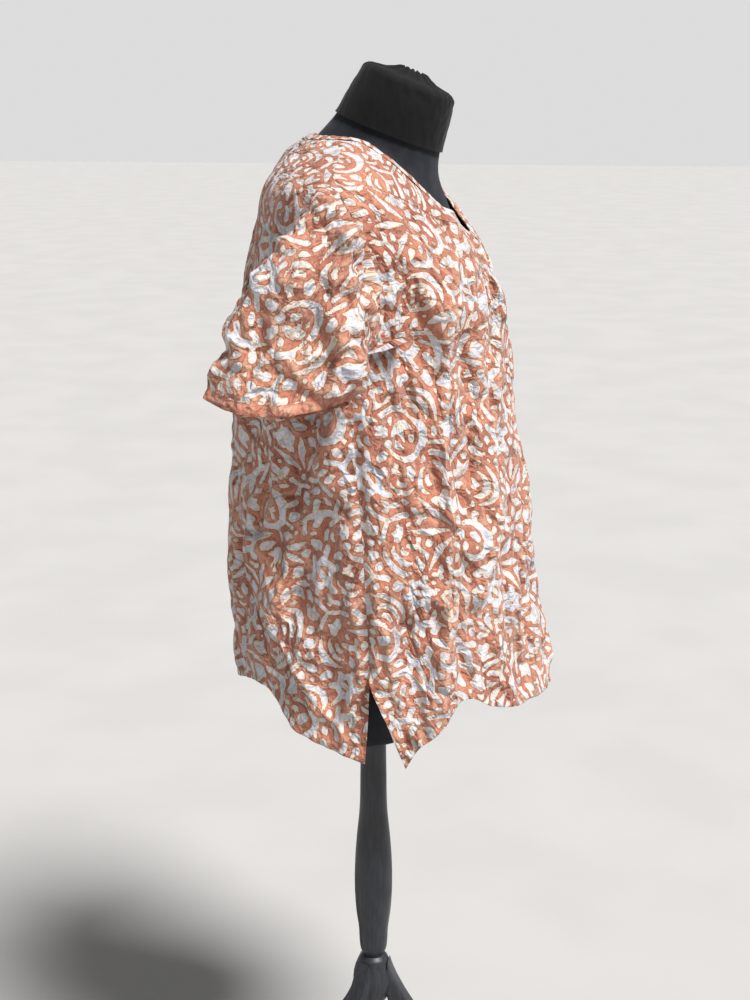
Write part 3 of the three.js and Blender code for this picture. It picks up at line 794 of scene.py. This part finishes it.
def shirt_front():
    return panel(
        "front_cloth", FRONT_HEM, HEM_CORNER_FRONT, SLIT_SPREAD_FRONT,
        lambda share, spread: share * (90 - spread),
        panel_shares(True), 11, (120.0, 40.0), True,
    )


def shirt_back():
    return panel(
        "back_cloth", BACK_HEM, HEM_CORNER_BACK, SLIT_SPREAD_BACK,
        lambda share, spread: 180 + share * (90 - spread),
        panel_shares(False), 24, (30.0, 150.0), False,
    )


# ---- sleeves, binding ----


def sleeve_surface(turn, along):
    """Points of the right sleeve over arrays of turn, in degrees, and along, 0 at the armhole."""
    t = np.radians(turn)
    height = UNDERARM + (SHOULDER_TIP - UNDERARM) * (1 + np.cos(t)) / 2
    start = cloth_point(90 - ARMHOLE_SPREAD * np.sin(t), height)
    start[..., 0] -= 0.6

    def ring(sizes):
        return np.stack([
            sizes["x"] + sizes["out"] * np.cos(t),
            sizes["y"] - sizes["half"] * np.sin(t),
            sizes["z"] + sizes["rise"] * np.cos(t),
        ], -1)

    middle = ring(SLEEVE_MIDDLE)
    end = ring(SLEEVE_HEM)
    end[..., 2] += SLEEVE_CORNER_LIFT * np.sin(t) ** 2
    s = along[..., None]
    return start * (1 - s) ** 2 + middle * 2 * s * (1 - s) + end * s * s


def sleeve(name, mirror, seed, print_shift):
    """A sleeve as an open tube with a turned hem and a plain band along it."""
    sides, steps = 176, 100
    turn, share = np.meshgrid(np.linspace(180, -180, sides, endpoint=False), np.linspace(1, -0.03, steps))
    points = sleeve_surface(turn, np.maximum(share, 0))
    points[..., 0] -= 240 * np.minimum(share, 0)
    up = np.gradient(points, axis=0)
    side = np.roll(points, -1, axis=1) - np.roll(points, 1, axis=1)
    normals = np.cross(up, side)
    normals /= np.maximum(np.linalg.norm(normals, axis=-1, keepdims=True), 1e-9)
    normals[-4:] = normals[-5:-4]
    u = run_lengths(points, 1)
    u = u - u[:, sides // 2:sides // 2 + 1]
    v = -run_lengths(points, 0)
    from_hem = run_lengths(points, 0)

    bumps = crumple(u, v, seed, 1.0)
    for shift in (-360, 0, 360):
        bumps += crease_height(SLEEVE_CREASES, turn + shift, share, *SLEEVE_CREASE_SCALES)
    # the tube's ends meet under the arm
    bumps *= 0.35 + 0.65 * smoothstep(180 - np.abs(turn), 0, 14)
    bumps *= 1.1 * smoothstep(share, 0.0, 0.09) * (0.45 + 0.55 * smoothstep(from_hem, 0, 20))
    near_hem = 1 - smoothstep(from_hem, 14, 45)
    ripple = 2.6 * wave_noise(u / 15, v / 40, seed + 9)
    bumps += near_hem * (ripple + 7.0 * wave_noise(u / 44, v / 60, seed + 10))
    bumps -= 0.7 * np.exp(-((from_hem - HEM_TURN - 1) / 1.5) ** 2)
    gather = np.exp(-(share / 0.05) ** 2) * np.clip(np.cos(np.radians(turn)), 0, 1)
    bumps += 1.2 * gather * np.sin(u / 2.6 + 2 * wave_noise(u / 20, v / 20, 3))
    bumps = np.clip(bumps, -SLEEVE_RELIEF, SLEEVE_RELIEF)
    points = points + normals * bumps[..., None]

    count = int(HEM_TURN / CELL)
    rows = np.arange(count, 0, -1)
    lines = pressed_lines(SLEEVE_CREASES, turn, share, *SLEEVE_CREASE_SCALES)
    # the crest attribute marks where the colour is painted paler: a painted highlight on every outward bend,
    # and on the pressed creases' tops, partly worn dye too
    crest = np.maximum(crests(points), 0.7 * lines)
    crest = np.pad(crest, ((count + 1, 0), (0, 0)))
    inner = points[rows] - 1.2 * CLOTH_FOLD * normals[rows]
    roll = points[:1] - 0.6 * CLOTH_FOLD * normals[:1]
    roll[..., 2] -= 0.4
    points = np.concatenate([inner, roll, points])
    u = np.concatenate([u[rows], u[:1], u])
    v = np.concatenate([v[rows], v[:1], v])
    from_hem = np.concatenate([from_hem[rows], from_hem[:1], from_hem])
    points[..., 0] *= mirror
    rows, columns = u.shape
    faces = grid_faces(rows, columns, close_columns=True)
    if mirror < 0:
        faces = [face[::-1] for face in faces]
    u, v, from_hem = u.reshape(-1), v.reshape(-1), from_hem.reshape(-1)
    pattern = print_distance(u + print_shift[0], v + print_shift[1])
    pattern = np.maximum(pattern, SLEEVE_PLAIN_BAND - from_hem + 1.5 * wave_noise(u / 25, 0 * u, 8))
    attributes = {"print": pattern, "cloth_u": u * MM, "cloth_v": v * MM, "crest": crest.reshape(-1)}
    return make_mesh(name, points.reshape(-1, 3), faces, attributes)


def neck_binding():
    """The narrow rolled binding round the neckline."""
    stations, corners = 420, 17
    angle = np.linspace(0, 360, stations, endpoint=False)
    turned = (angle + 180) % 360 - 180
    z = read_table(NECKLINE, "angle", "z", np.abs(turned))
    edge = cloth_point(turned, z)
    step = 0.4
    sideways = cloth_point(turned + step, z) - cloth_point(turned - step, z)
    upward = cloth_point(turned, z + 1.5) - cloth_point(turned, z - 1.5)
    normal = np.cross(upward, sideways)
    normal /= np.linalg.norm(normal, axis=-1, keepdims=True)
    along = np.roll(edge, -1, axis=0) - np.roll(edge, 1, axis=0)
    along /= np.linalg.norm(along, axis=-1, keepdims=True)
    inward = np.cross(along, normal)
    length = np.concatenate([[0], np.cumsum(np.linalg.norm(np.diff(edge, axis=0), axis=-1))])
    gather = np.sin(length / 2.1 + 2.4 * wave_noise(length / 14, 0 * length, 21))
    pull = 0.35 + 0.65 * smoothstep(np.abs(turned), 25, 70)
    lift = 0.35 * gather * pull + 0.8 * wave_noise(length / 22, 0 * length, 22)
    # a cross-section like a hairpin: down the outside, over the top and down the inside
    place = np.linspace(0, 1, corners)
    wrap = np.pi * smoothstep(place, 0.34, 0.66)
    straight = BINDING_WIDTH * (np.clip(0.38 - place, 0, 1) + np.clip(place - 0.62, 0, 1)) / 0.38
    reach = BINDING_WIDTH - 2.2 - straight + (BINDING_THICKNESS / 2) * (np.sin(wrap) - 1)
    puff = 0.5 * np.sin(np.pi * np.clip(straight / BINDING_WIDTH, 0, 1))
    rise = (BINDING_THICKNESS / 2) * np.cos(wrap) + puff * np.sign(np.cos(wrap)) - 0.4
    rise = rise[None, :] + lift[:, None] * (place < 0.6)[None, :]
    reach = np.broadcast_to(reach[None, :], rise.shape)
    points = edge[:, None] + inward[:, None] * reach[..., None] + normal[:, None] * rise[..., None]
    faces = []
    for a in range(stations):
        b = (a + 1) % stations
        for k in range(corners - 1):
            faces.append((a * corners + k, a * corners + k + 1, b * corners + k + 1, b * corners + k))
    u = np.broadcast_to(length[:, None], (stations, corners)).reshape(-1)
    v = np.broadcast_to(20 * place, (stations, corners)).reshape(-1)
    attributes = {"print": print_distance(v + 66, u + 10), "cloth_u": u * MM, "cloth_v": v * MM}
    return make_mesh("binding", points.reshape(-1, 3), faces, attributes)


# ---- dress form ----


def closed_loft(name, rings):
    """A closed mesh through rings, an array of ring, place, XYZ, with fan ends."""
    count, sides = rings.shape[:2]
    points = np.concatenate([rings.reshape(-1, 3), rings[0].mean(0)[None], rings[-1].mean(0)[None]])
    faces = grid_faces(count, sides, close_columns=True)
    low, high, top = count * sides, count * sides + 1, (count - 1) * sides
    for side in range(sides):
        ahead = (side + 1) % sides
        faces.append((low, ahead, side))
        faces.append((high, top + side, top + ahead))
    return make_mesh(name, points, faces, {})


def neck_ring(k, grow=0.0, sides=72):
    """The neck's slanting section at a place between the table's rows."""
    names = ("front_y", "front_z", "back_y", "back_z", "width")
    front_y, front_z, back_y, back_z, width = (read_table(NECK_SECTIONS, "k", name, k) for name in names)
    front, back = np.array([0, front_y, front_z]), np.array([0, back_y, back_z])
    centre = (front + back) / 2
    forward = (front - back) / 2
    forward = forward * (1 + grow / np.linalg.norm(forward))
    turn = np.linspace(0, 2 * np.pi, sides, endpoint=False)
    ring = centre + np.cos(turn)[:, None] * forward
    ring[:, 0] -= (width + grow) * np.sin(turn)
    return ring


def form_body():
    """The torso and neck under their jersey, joined in one smooth skin."""
    heights = np.linspace(TORSO_BOTTOM, TORSO_SECTIONS[-1]["z"], 90)
    angle = np.linspace(0, 360, 96, endpoint=False)
    rings = section_point(TORSO_SECTIONS, *np.meshgrid(angle, heights))
    torso = closed_loft("form", rings)
    neck = closed_loft("neck", np.array([neck_ring(k) for k in np.linspace(0, 5, 40)]))
    join = torso.modifiers.new("join", "BOOLEAN")
    join.operation = "UNION"
    join.object = neck
    remesh = torso.modifiers.new("remesh", "REMESH")
    remesh.mode = "VOXEL"
    remesh.voxel_size = 4.0 * MM
    smooth = torso.modifiers.new("smooth", "SMOOTH")
    smooth.iterations = 6
    apply_modifiers(torso)
    bpy.data.objects.remove(neck)
    return torso


def apply_modifiers(obj):
    """Replaces an object's mesh by its evaluated one."""
    graph = bpy.context.evaluated_depsgraph_get()
    mesh = bpy.data.meshes.new_from_object(obj.evaluated_get(graph))
    obj.modifiers.clear()
    obj.data = mesh
    mesh.polygons.foreach_set("use_smooth", [True] * len(mesh.polygons))


def neck_cuff():
    """The jersey turned down over the neck: a soft band with small wrinkles, gathered to a hollow on top."""
    sides = 168
    rings = []
    up = np.array([0, -40.0, 97.0])
    up = up / np.linalg.norm(up)
    for k in np.linspace(3.0, 4.9, 26):
        rings.append(neck_ring(k, CUFF_THICKNESS, sides))
    top = neck_ring(5, CUFF_THICKNESS, sides)
    centre = top.mean(0)
    for row in CUFF_CROWN:
        rings.append(top + (centre - top) * row["share"] + up * row["lift"])
    rings = np.array(rings)
    count = len(rings)
    place = np.linspace(0, 1, count)[:, None]
    turn = np.linspace(0, 360, sides, endpoint=False)[None, :]
    wrap = np.radians(turn)
    x, y = 9 * np.cos(wrap), 9 * np.sin(wrap)
    wave = wave_noise(x + 6 * place, y + 3 * place, 31)
    fine = wave_noise(2.3 * x, 2.3 * y + 9 * place, 32)
    radial = np.clip((place - 0.7) / 0.3, 0, 1)
    pleats = np.sin(13 * wrap + 3 * wave_noise(x / 3, y / 3, 33))
    normals = grid_normals(np.concatenate([rings, rings[:, :1]], axis=1))[:, :-1]
    bumps = 0.7 * wave * (1 - 0.3 * radial) + 0.3 * fine
    bumps = bumps + 1.5 * radial * pleats * smoothstep(place, 0.68, 0.8)
    rings = rings + normals * bumps[..., None]
    lower = rings[:1] - normals[:1] * 1.6
    inner = rings[1:2] - normals[1:2] * 2.2
    rings = np.concatenate([inner, lower, rings])
    faces = grid_faces(len(rings), sides, close_columns=True)
    return make_mesh("neck_jersey", rings.reshape(-1, 3), faces, {})


# ---- stand ----


def lathe(name, profile, base_z):
    """A turned piece through a profile's radii."""
    sides, per_step = 64, 6
    heights = np.array([row["z"] for row in profile], float)
    steps = [np.linspace(low, high, per_step, endpoint=False) for low, high in zip(heights[:-1], heights[1:])]
    z = np.append(np.concatenate(steps), heights[-1])
    radius = read_table(profile, "z", "radius", z)
    turn = np.linspace(0, 2 * np.pi, sides, endpoint=False)
    rings = np.stack([
        -radius[:, None] * np.sin(turn),
        -radius[:, None] * np.cos(turn),
        np.broadcast_to((z + base_z)[:, None], (len(z), sides)),
    ], -1)
    return closed_loft(name, rings)


def bezier(points, t):
    a, b, c, d = (np.array(p, float) for p in points)
    t = t[:, None]
    return a * (1 - t) ** 3 + 3 * b * t * (1 - t) ** 2 + 3 * c * t * t * (1 - t) + d * t ** 3


def leg(name, heading):
    """A curved leg with rounded long edges and a flat foot."""
    root = 20.3
    reach = AXIS[1] - LEG_LOW[1]
    heel = reach - 28.0
    half = (LEG_HIGH[0] - LEG_LOW[0]) / 2
    t = np.linspace(0, 1, 44)
    under = bezier([(root, 200), (60, 66), (190, 36), (heel, 0)], t)
    over = bezier([(root, 256), (32, 210), (110, 88), (heel, 40)], t)
    toe_under = np.stack([np.linspace(heel + 4, reach - 1, 7), np.zeros(7)], -1)
    toe_over = np.stack([np.linspace(heel + 4, reach - 1, 7), np.linspace(37.5, 22, 7)], -1)
    under = np.concatenate([under, toe_under])
    over = np.concatenate([over, toe_over])
    rings = []
    turn = np.linspace(0, 2 * np.pi, 28, endpoint=False)
    round_y = np.sign(np.sin(turn)) * np.abs(np.sin(turn)) ** 0.42
    round_z = np.sign(np.cos(turn)) * np.abs(np.cos(turn)) ** 0.42
    for low, high in zip(under, over):
        middle = (low + high) / 2
        up = (high - low) / 2
        ring = np.zeros((len(turn), 3))
        ring[:, 0] = middle[0] + up[0] * round_z
        ring[:, 2] = middle[1] + up[1] * round_z
        ring[:, 1] = half * round_y
        rings.append(ring)
    rings = np.array(rings)
    c, s = math.cos(math.radians(heading)), math.sin(math.radians(heading))
    rings = rings @ np.array([[c, s, 0], [-s, c, 0], [0, 0, 1]])
    return closed_loft(name, rings)


# ---- materials ----


class Nodes:
    """Adds and links shader nodes of one material."""

    def __init__(self, name):
        self.material = bpy.data.materials.new(name)
        self.material.use_nodes = True
        self.tree = self.material.node_tree
        self.shader = self.tree.nodes["Principled BSDF"]

    def add(self, kind, inputs=None, **settings):
        node = self.tree.nodes.new(kind)
        for key, value in settings.items():
            setattr(node, key, value)
        for key, value in (inputs or {}).items():
            if isinstance(value, bpy.types.NodeSocket):
                self.tree.links.new(value, node.inputs[key])
            else:
                node.inputs[key].default_value = value
        return node

    def link(self, output, key):
        self.tree.links.new(output, self.shader.inputs[key])

    def math(self, operation, a, b=0.0):
        return self.add("ShaderNodeMath", {0: a, 1: b}, operation=operation).outputs[0]

    def noise(self, place, scale, detail):
        """Smooth noise from 0 to 1."""
        inputs = {"Vector": place, "Scale": scale, "Detail": detail}
        return self.add("ShaderNodeTexNoise", inputs).outputs["Fac"]

    def band(self, value, low, high, start=0.0, end=1.0):
        node = self.add("ShaderNodeMapRange", {
            "Value": value, "From Min": low, "From Max": high, "To Min": start, "To Max": end,
        }, interpolation_type="SMOOTHSTEP")
        return node.outputs[0]

    def mix(self, share, a, b, blend="MIX"):
        node = self.add("ShaderNodeMix", data_type="RGBA", blend_type=blend)
        for index, value in ((0, share), (6, a), (7, b)):
            if isinstance(value, bpy.types.NodeSocket):
                self.tree.links.new(value, node.inputs[index])
            else:
                node.inputs[index].default_value = value
        return node.outputs[2]

    def value(self, name):
        return self.add("ShaderNodeAttribute", attribute_name=name).outputs["Fac"]


def srgb(text):
    """A linear colour from a hex sRGB one."""
    channels = [int(text[i:i + 2], 16) / 255 for i in (0, 2, 4)]
    linear = [c / 12.92 if c <= 0.04045 else ((c + 0.055) / 1.055) ** 2.4 for c in channels]
    return (*linear, 1.0)


def batik_material():
    n = Nodes("batik_cotton")
    u, v = n.value("cloth_u"), n.value("cloth_v")
    place = n.add("ShaderNodeCombineXYZ", {"X": u, "Y": v}).outputs[0]
    edge_noise = n.noise(place, 420.0, 2.0)
    soft_noise = n.noise(place, 38.0, 3.0)
    wide_noise = n.noise(place, 11.0, 2.0)
    field = n.math("ADD", n.value("print"), n.math("MULTIPLY", n.math("SUBTRACT", edge_noise, 0.5), 1.6))

    # creases too fine for the mesh: folds along the middle value of noise, in metres of height
    crumple_lines = []
    crease_marks = []
    for scale, depth, offset, stretch in (
        (22.0, -0.030, 3.1, 0.5), (38.0, 0.019, 7.7, 0.6),
        (62.0, -0.0115, 1.3, 0.7), (110.0, 0.0055, 5.9, 0.9),
        (210.0, -0.0022, 8.3, 1.0),
    ):
        spot = n.add("ShaderNodeMapping", {
            "Vector": place,
            "Location": (offset, offset, 0.0),
            "Rotation": (0.0, 0.0, 0.35 * math.sin(offset)),
            "Scale": (1.0, stretch, 1.0),
        }).outputs[0]
        noise = n.add("ShaderNodeTexNoise", {
            "Vector": spot, "Scale": scale, "Detail": 0.6, "Roughness": 0.4, "Distortion": 0.5,
        }).outputs["Fac"]
        away = n.math("ABSOLUTE", n.math("SUBTRACT", noise, 0.5))
        crumple_lines.append(n.math("MULTIPLY", away, depth))
        if depth < 0 and scale < 100:
            crease_marks.append(n.band(away, 0.004, 0.03, 1.0, 0.0))
    # the tops of the fine bump creases, which are painted paler below as a painted highlight
    marks = n.math("MAXIMUM", crease_marks[0], n.math("MULTIPLY", crease_marks[1], 0.7))

    ground = n.mix(n.band(wide_noise, 0.32, 0.68), srgb("985846"), srgb("b6745c"))
    ground = n.mix(n.math("MULTIPLY", n.band(soft_noise, 0.45, 0.8), 0.4), ground, srgb("975441"))
    # painted highlight, partly worn dye: the ground is painted paler (d2ab92) on outward bends, on the
    # pressed creases' tops and on the fine creases' tops
    crest_wear_and_highlight = n.math("MAXIMUM", n.value("crest"), n.math("MULTIPLY", marks, 0.7))
    ground = n.mix(n.math("MULTIPLY", crest_wear_and_highlight, 0.5), ground, srgb("d2ab92"))
    outline = n.mix(0.5, ground, srgb("6f4031"))
    cream = srgb("cabcad")
    white = n.mix(n.band(soft_noise, 0.3, 0.7), srgb("b8bbc9"), srgb("cacbd3"))

    inside = n.band(field, -0.35, 0.25, 1.0, 0.0)
    core = n.band(field, -2.1, -1.2, 1.0, 0.0)
    rim = n.band(n.math("ABSOLUTE", n.math("SUBTRACT", field, 0.35)), 0.15, 0.8, 1.0, 0.0)
    colour = n.mix(rim, ground, outline)
    colour = n.mix(inside, colour, cream)
    colour = n.mix(core, colour, white)

    warp = n.add("ShaderNodeTexNoise", {"Vector": place, "Scale": 60.0, "Detail": 2.0}).outputs["Color"]
    bent = n.mix(0.012, place, warp, "ADD")
    cracks = n.add("ShaderNodeTexVoronoi", {"Vector": bent, "Scale": 120.0}, feature="DISTANCE_TO_EDGE")
    crack_line = n.band(cracks.outputs["Distance"], 0.012, 0.05, 1.0, 0.0)
    patchy = n.band(n.add("ShaderNodeTexNoise", {"Vector": place, "Scale": 75.0}).outputs["Fac"], 0.46, 0.6)
    veins = n.math("MULTIPLY", n.math("MULTIPLY", crack_line, patchy), inside)
    colour = n.mix(n.math("MULTIPLY", veins, 0.5), colour, srgb("a07a66"))

    specks = n.add("ShaderNodeTexVoronoi", {"Vector": place, "Scale": 95.0, "Randomness": 1.0})
    speck = n.band(specks.outputs["Distance"], 0.05, 0.09, 1.0, 0.0)
    chance = n.add("ShaderNodeSeparateColor", {"Color": specks.outputs["Color"]})
    lucky = n.band(chance.outputs[0], 0.72, 0.74)
    colour = n.mix(n.math("MULTIPLY", n.math("MULTIPLY", speck, lucky), 0.8), colour, srgb("d6c3ae"))
    n.link(colour, "Base Color")

    height = crumple_lines[0]
    for lines in crumple_lines[1:]:
        height = n.math("ADD", height, lines)
    crush = n.add("ShaderNodeBump", {"Height": height, "Strength": 1.0, "Distance": 1.0})
    threads = []
    for bands, scale in (("X", 620.0), ("Y", 560.0)):
        inputs = {"Vector": place, "Scale": scale, "Distortion": 1.0}
        threads.append(n.add("ShaderNodeTexWave", inputs, bands_direction=bands).outputs["Fac"])
    weave = n.math("ADD", *threads)
    bump = n.add("ShaderNodeBump", {
        "Height": weave, "Strength": 0.12, "Distance": 0.0003, "Normal": crush.outputs[0],
    })
    n.link(bump.outputs[0], "Normal")
    n.link(n.band(soft_noise, 0.2, 0.8, 0.66, 0.8), "Roughness")
    n.shader.inputs["Sheen Weight"].default_value = 0.15
    n.shader.inputs["Sheen Roughness"].default_value = 0.5
    n.shader.inputs["Specular IOR Level"].default_value = 0.35
    return n.material


def jersey_material(name, dark, light):
    n = Nodes(name)
    place = n.add("ShaderNodeTexCoord").outputs["Object"]
    cloud = n.noise(place, 60.0, 5.0)
    lint = n.noise(place, 1400.0, 2.0)
    colour = n.mix(n.band(cloud, 0.3, 0.75), dark, light)
    colour = n.mix(n.math("MULTIPLY", n.band(lint, 0.66, 0.78), 0.25), colour, srgb("55575c"))
    n.link(colour, "Base Color")
    knit = n.noise(place, 900.0, 2.0)
    bump = n.add("ShaderNodeBump", {"Height": knit, "Strength": 0.35, "Distance": 0.0004})
    n.link(bump.outputs[0], "Normal")
    n.link(n.band(cloud, 0.2, 0.8, 0.82, 0.95), "Roughness")
    n.shader.inputs["Sheen Weight"].default_value = 0.06
    n.shader.inputs["Sheen Roughness"].default_value = 0.45
    n.shader.inputs["Specular IOR Level"].default_value = 0.2
    return n.material


def black_wood_material():
    n = Nodes("black_wood")
    place = n.add("ShaderNodeTexCoord").outputs["Object"]
    stretched = n.add("ShaderNodeMapping", {"Vector": place, "Scale": (1.0, 1.0, 0.12)}).outputs[0]
    grain = n.noise(stretched, 260.0, 5.0)
    smear = n.noise(place, 22.0, 3.0)
    colour = n.mix(n.band(grain, 0.35, 0.7), srgb("1c1e23"), srgb("292c33"))
    n.link(colour, "Base Color")
    bump = n.add("ShaderNodeBump", {"Height": grain, "Strength": 0.2, "Distance": 0.0003})
    n.link(bump.outputs[0], "Normal")
    n.link(n.band(smear, 0.3, 0.7, 0.34, 0.5), "Roughness")
    return n.material


def floor_material():
    n = Nodes("studio_floor")
    place = n.add("ShaderNodeTexCoord").outputs["Object"]
    cloud = n.noise(place, 3.0, 2.0)
    n.link(n.mix(n.band(cloud, 0.3, 0.7), srgb("aeadac"), srgb("b2b1b0")), "Base Color")
    n.shader.inputs["Roughness"].default_value = 0.9
    return n.material


# ---- scene ----


def finish_piece(obj, material, node):
    obj.data.materials.clear()
    obj.data.materials.append(material)
    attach(obj, "root")
    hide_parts(node)
    return obj


def build_object():
    batik = batik_material()
    jersey = jersey_material("form_jersey", srgb("1f2126"), srgb("2b2d34"))
    cuff = jersey_material("cuff_jersey", srgb("0d0d0f"), srgb("151517"))
    wood = black_wood_material()
    front = finish_piece(shirt_front(), batik, "shirt_front")
    back = finish_piece(shirt_back(), batik, "shirt_back")
    right = finish_piece(sleeve("right_sleeve_cloth", 1, 37, (50, 90)), batik, "sleeve_right")
    left = finish_piece(sleeve("left_sleeve_cloth", -1, 58, (180, 20)), batik, "sleeve_left")
    band = finish_piece(neck_binding(), batik, "neck_binding")
    finish_piece(form_body(), jersey, "form_body")
    finish_piece(neck_cuff(), cuff, "form_neck_cuff")
    finish_piece(lathe("column", COLUMN_PROFILE, COLUMN_LOW[2]), wood, "stand_column")
    finish_piece(lathe("hub", HUB_PROFILE, HUB_LOW[2]), wood, "stand_hub")
    for name, heading in (("front", -90), ("left", 30), ("right", 150)):
        finish_piece(leg("leg_" + name, heading), wood, "stand_leg_" + name)


def build_stage():
    scene = bpy.context.scene
    mesh = bpy.data.meshes.new("floor")
    reach = 30.0
    corners = [(-reach, -reach, 0), (reach, -reach, 0), (reach, reach, 0), (-reach, reach, 0)]
    mesh.from_pydata(corners, [], [(0, 1, 2, 3)])
    floor = bpy.data.objects.new("floor", mesh)
    mesh.materials.append(floor_material())
    scene.collection.objects.link(floor)
    world = bpy.data.worlds.new("studio")
    world.use_nodes = True
    tree = world.node_tree
    background = tree.nodes["Background"]
    direction = tree.nodes.new("ShaderNodeTexCoord")
    split = tree.nodes.new("ShaderNodeSeparateXYZ")
    haze = tree.nodes.new("ShaderNodeMapRange")
    haze.interpolation_type = "SMOOTHSTEP"
    for key, value in (("From Min", 0.06), ("From Max", 0.3), ("To Min", 0.72), ("To Max", 0.24)):
        haze.inputs[key].default_value = value
    tree.links.new(direction.outputs["Generated"], split.inputs[0])
    tree.links.new(split.outputs["Z"], haze.inputs["Value"])
    tree.links.new(haze.outputs[0], background.inputs["Strength"])
    background.inputs["Color"].default_value = (1.0, 1.0, 1.0, 1.0)
    scene.world = world
    sun = bpy.data.lights.new("key", "SUN")
    sun.angle = math.radians(18)
    sun.energy = 5.8
    sun.color = (1.0, 0.985, 0.965)
    key = bpy.data.objects.new("key", sun)
    key.rotation_euler = Vector((-0.30, -0.46, 0.84)).to_track_quat("Z", "Y").to_euler()
    scene.collection.objects.link(key)
    scene.view_settings.view_transform = "Standard"


def build_camera():
    """The photo's view: from the wearer's right, a little to the front, level with the form's neck."""
    distance = 1.750
    heading = math.radians(10.0)
    tilt = math.radians(15.0)
    height = 1.345
    focal = 1503.0
    image_height = 1000.0
    side_shift = 0.002
    forward = Vector((math.cos(heading), math.sin(heading), 0.0))
    right = Vector((math.sin(heading), -math.cos(heading), 0.0))
    axis = Vector((AXIS[0] * MM, AXIS[1] * MM, height))
    camera = bpy.data.cameras.new("camera")
    camera.sensor_fit = "VERTICAL"
    camera.sensor_height = 36.0
    camera.lens = camera.sensor_height * focal / image_height
    obj = bpy.data.objects.new("camera", camera)
    obj.location = axis - forward * distance + right * side_shift
    look = forward * math.cos(tilt) + Vector((0, 0, -1)) * math.sin(tilt)
    obj.rotation_euler = look.to_track_quat("-Z", "Y").to_euler()
    bpy.context.scene.collection.objects.link(obj)
    bpy.context.scene.camera = obj


build_camera()
build_object()
build_stage()
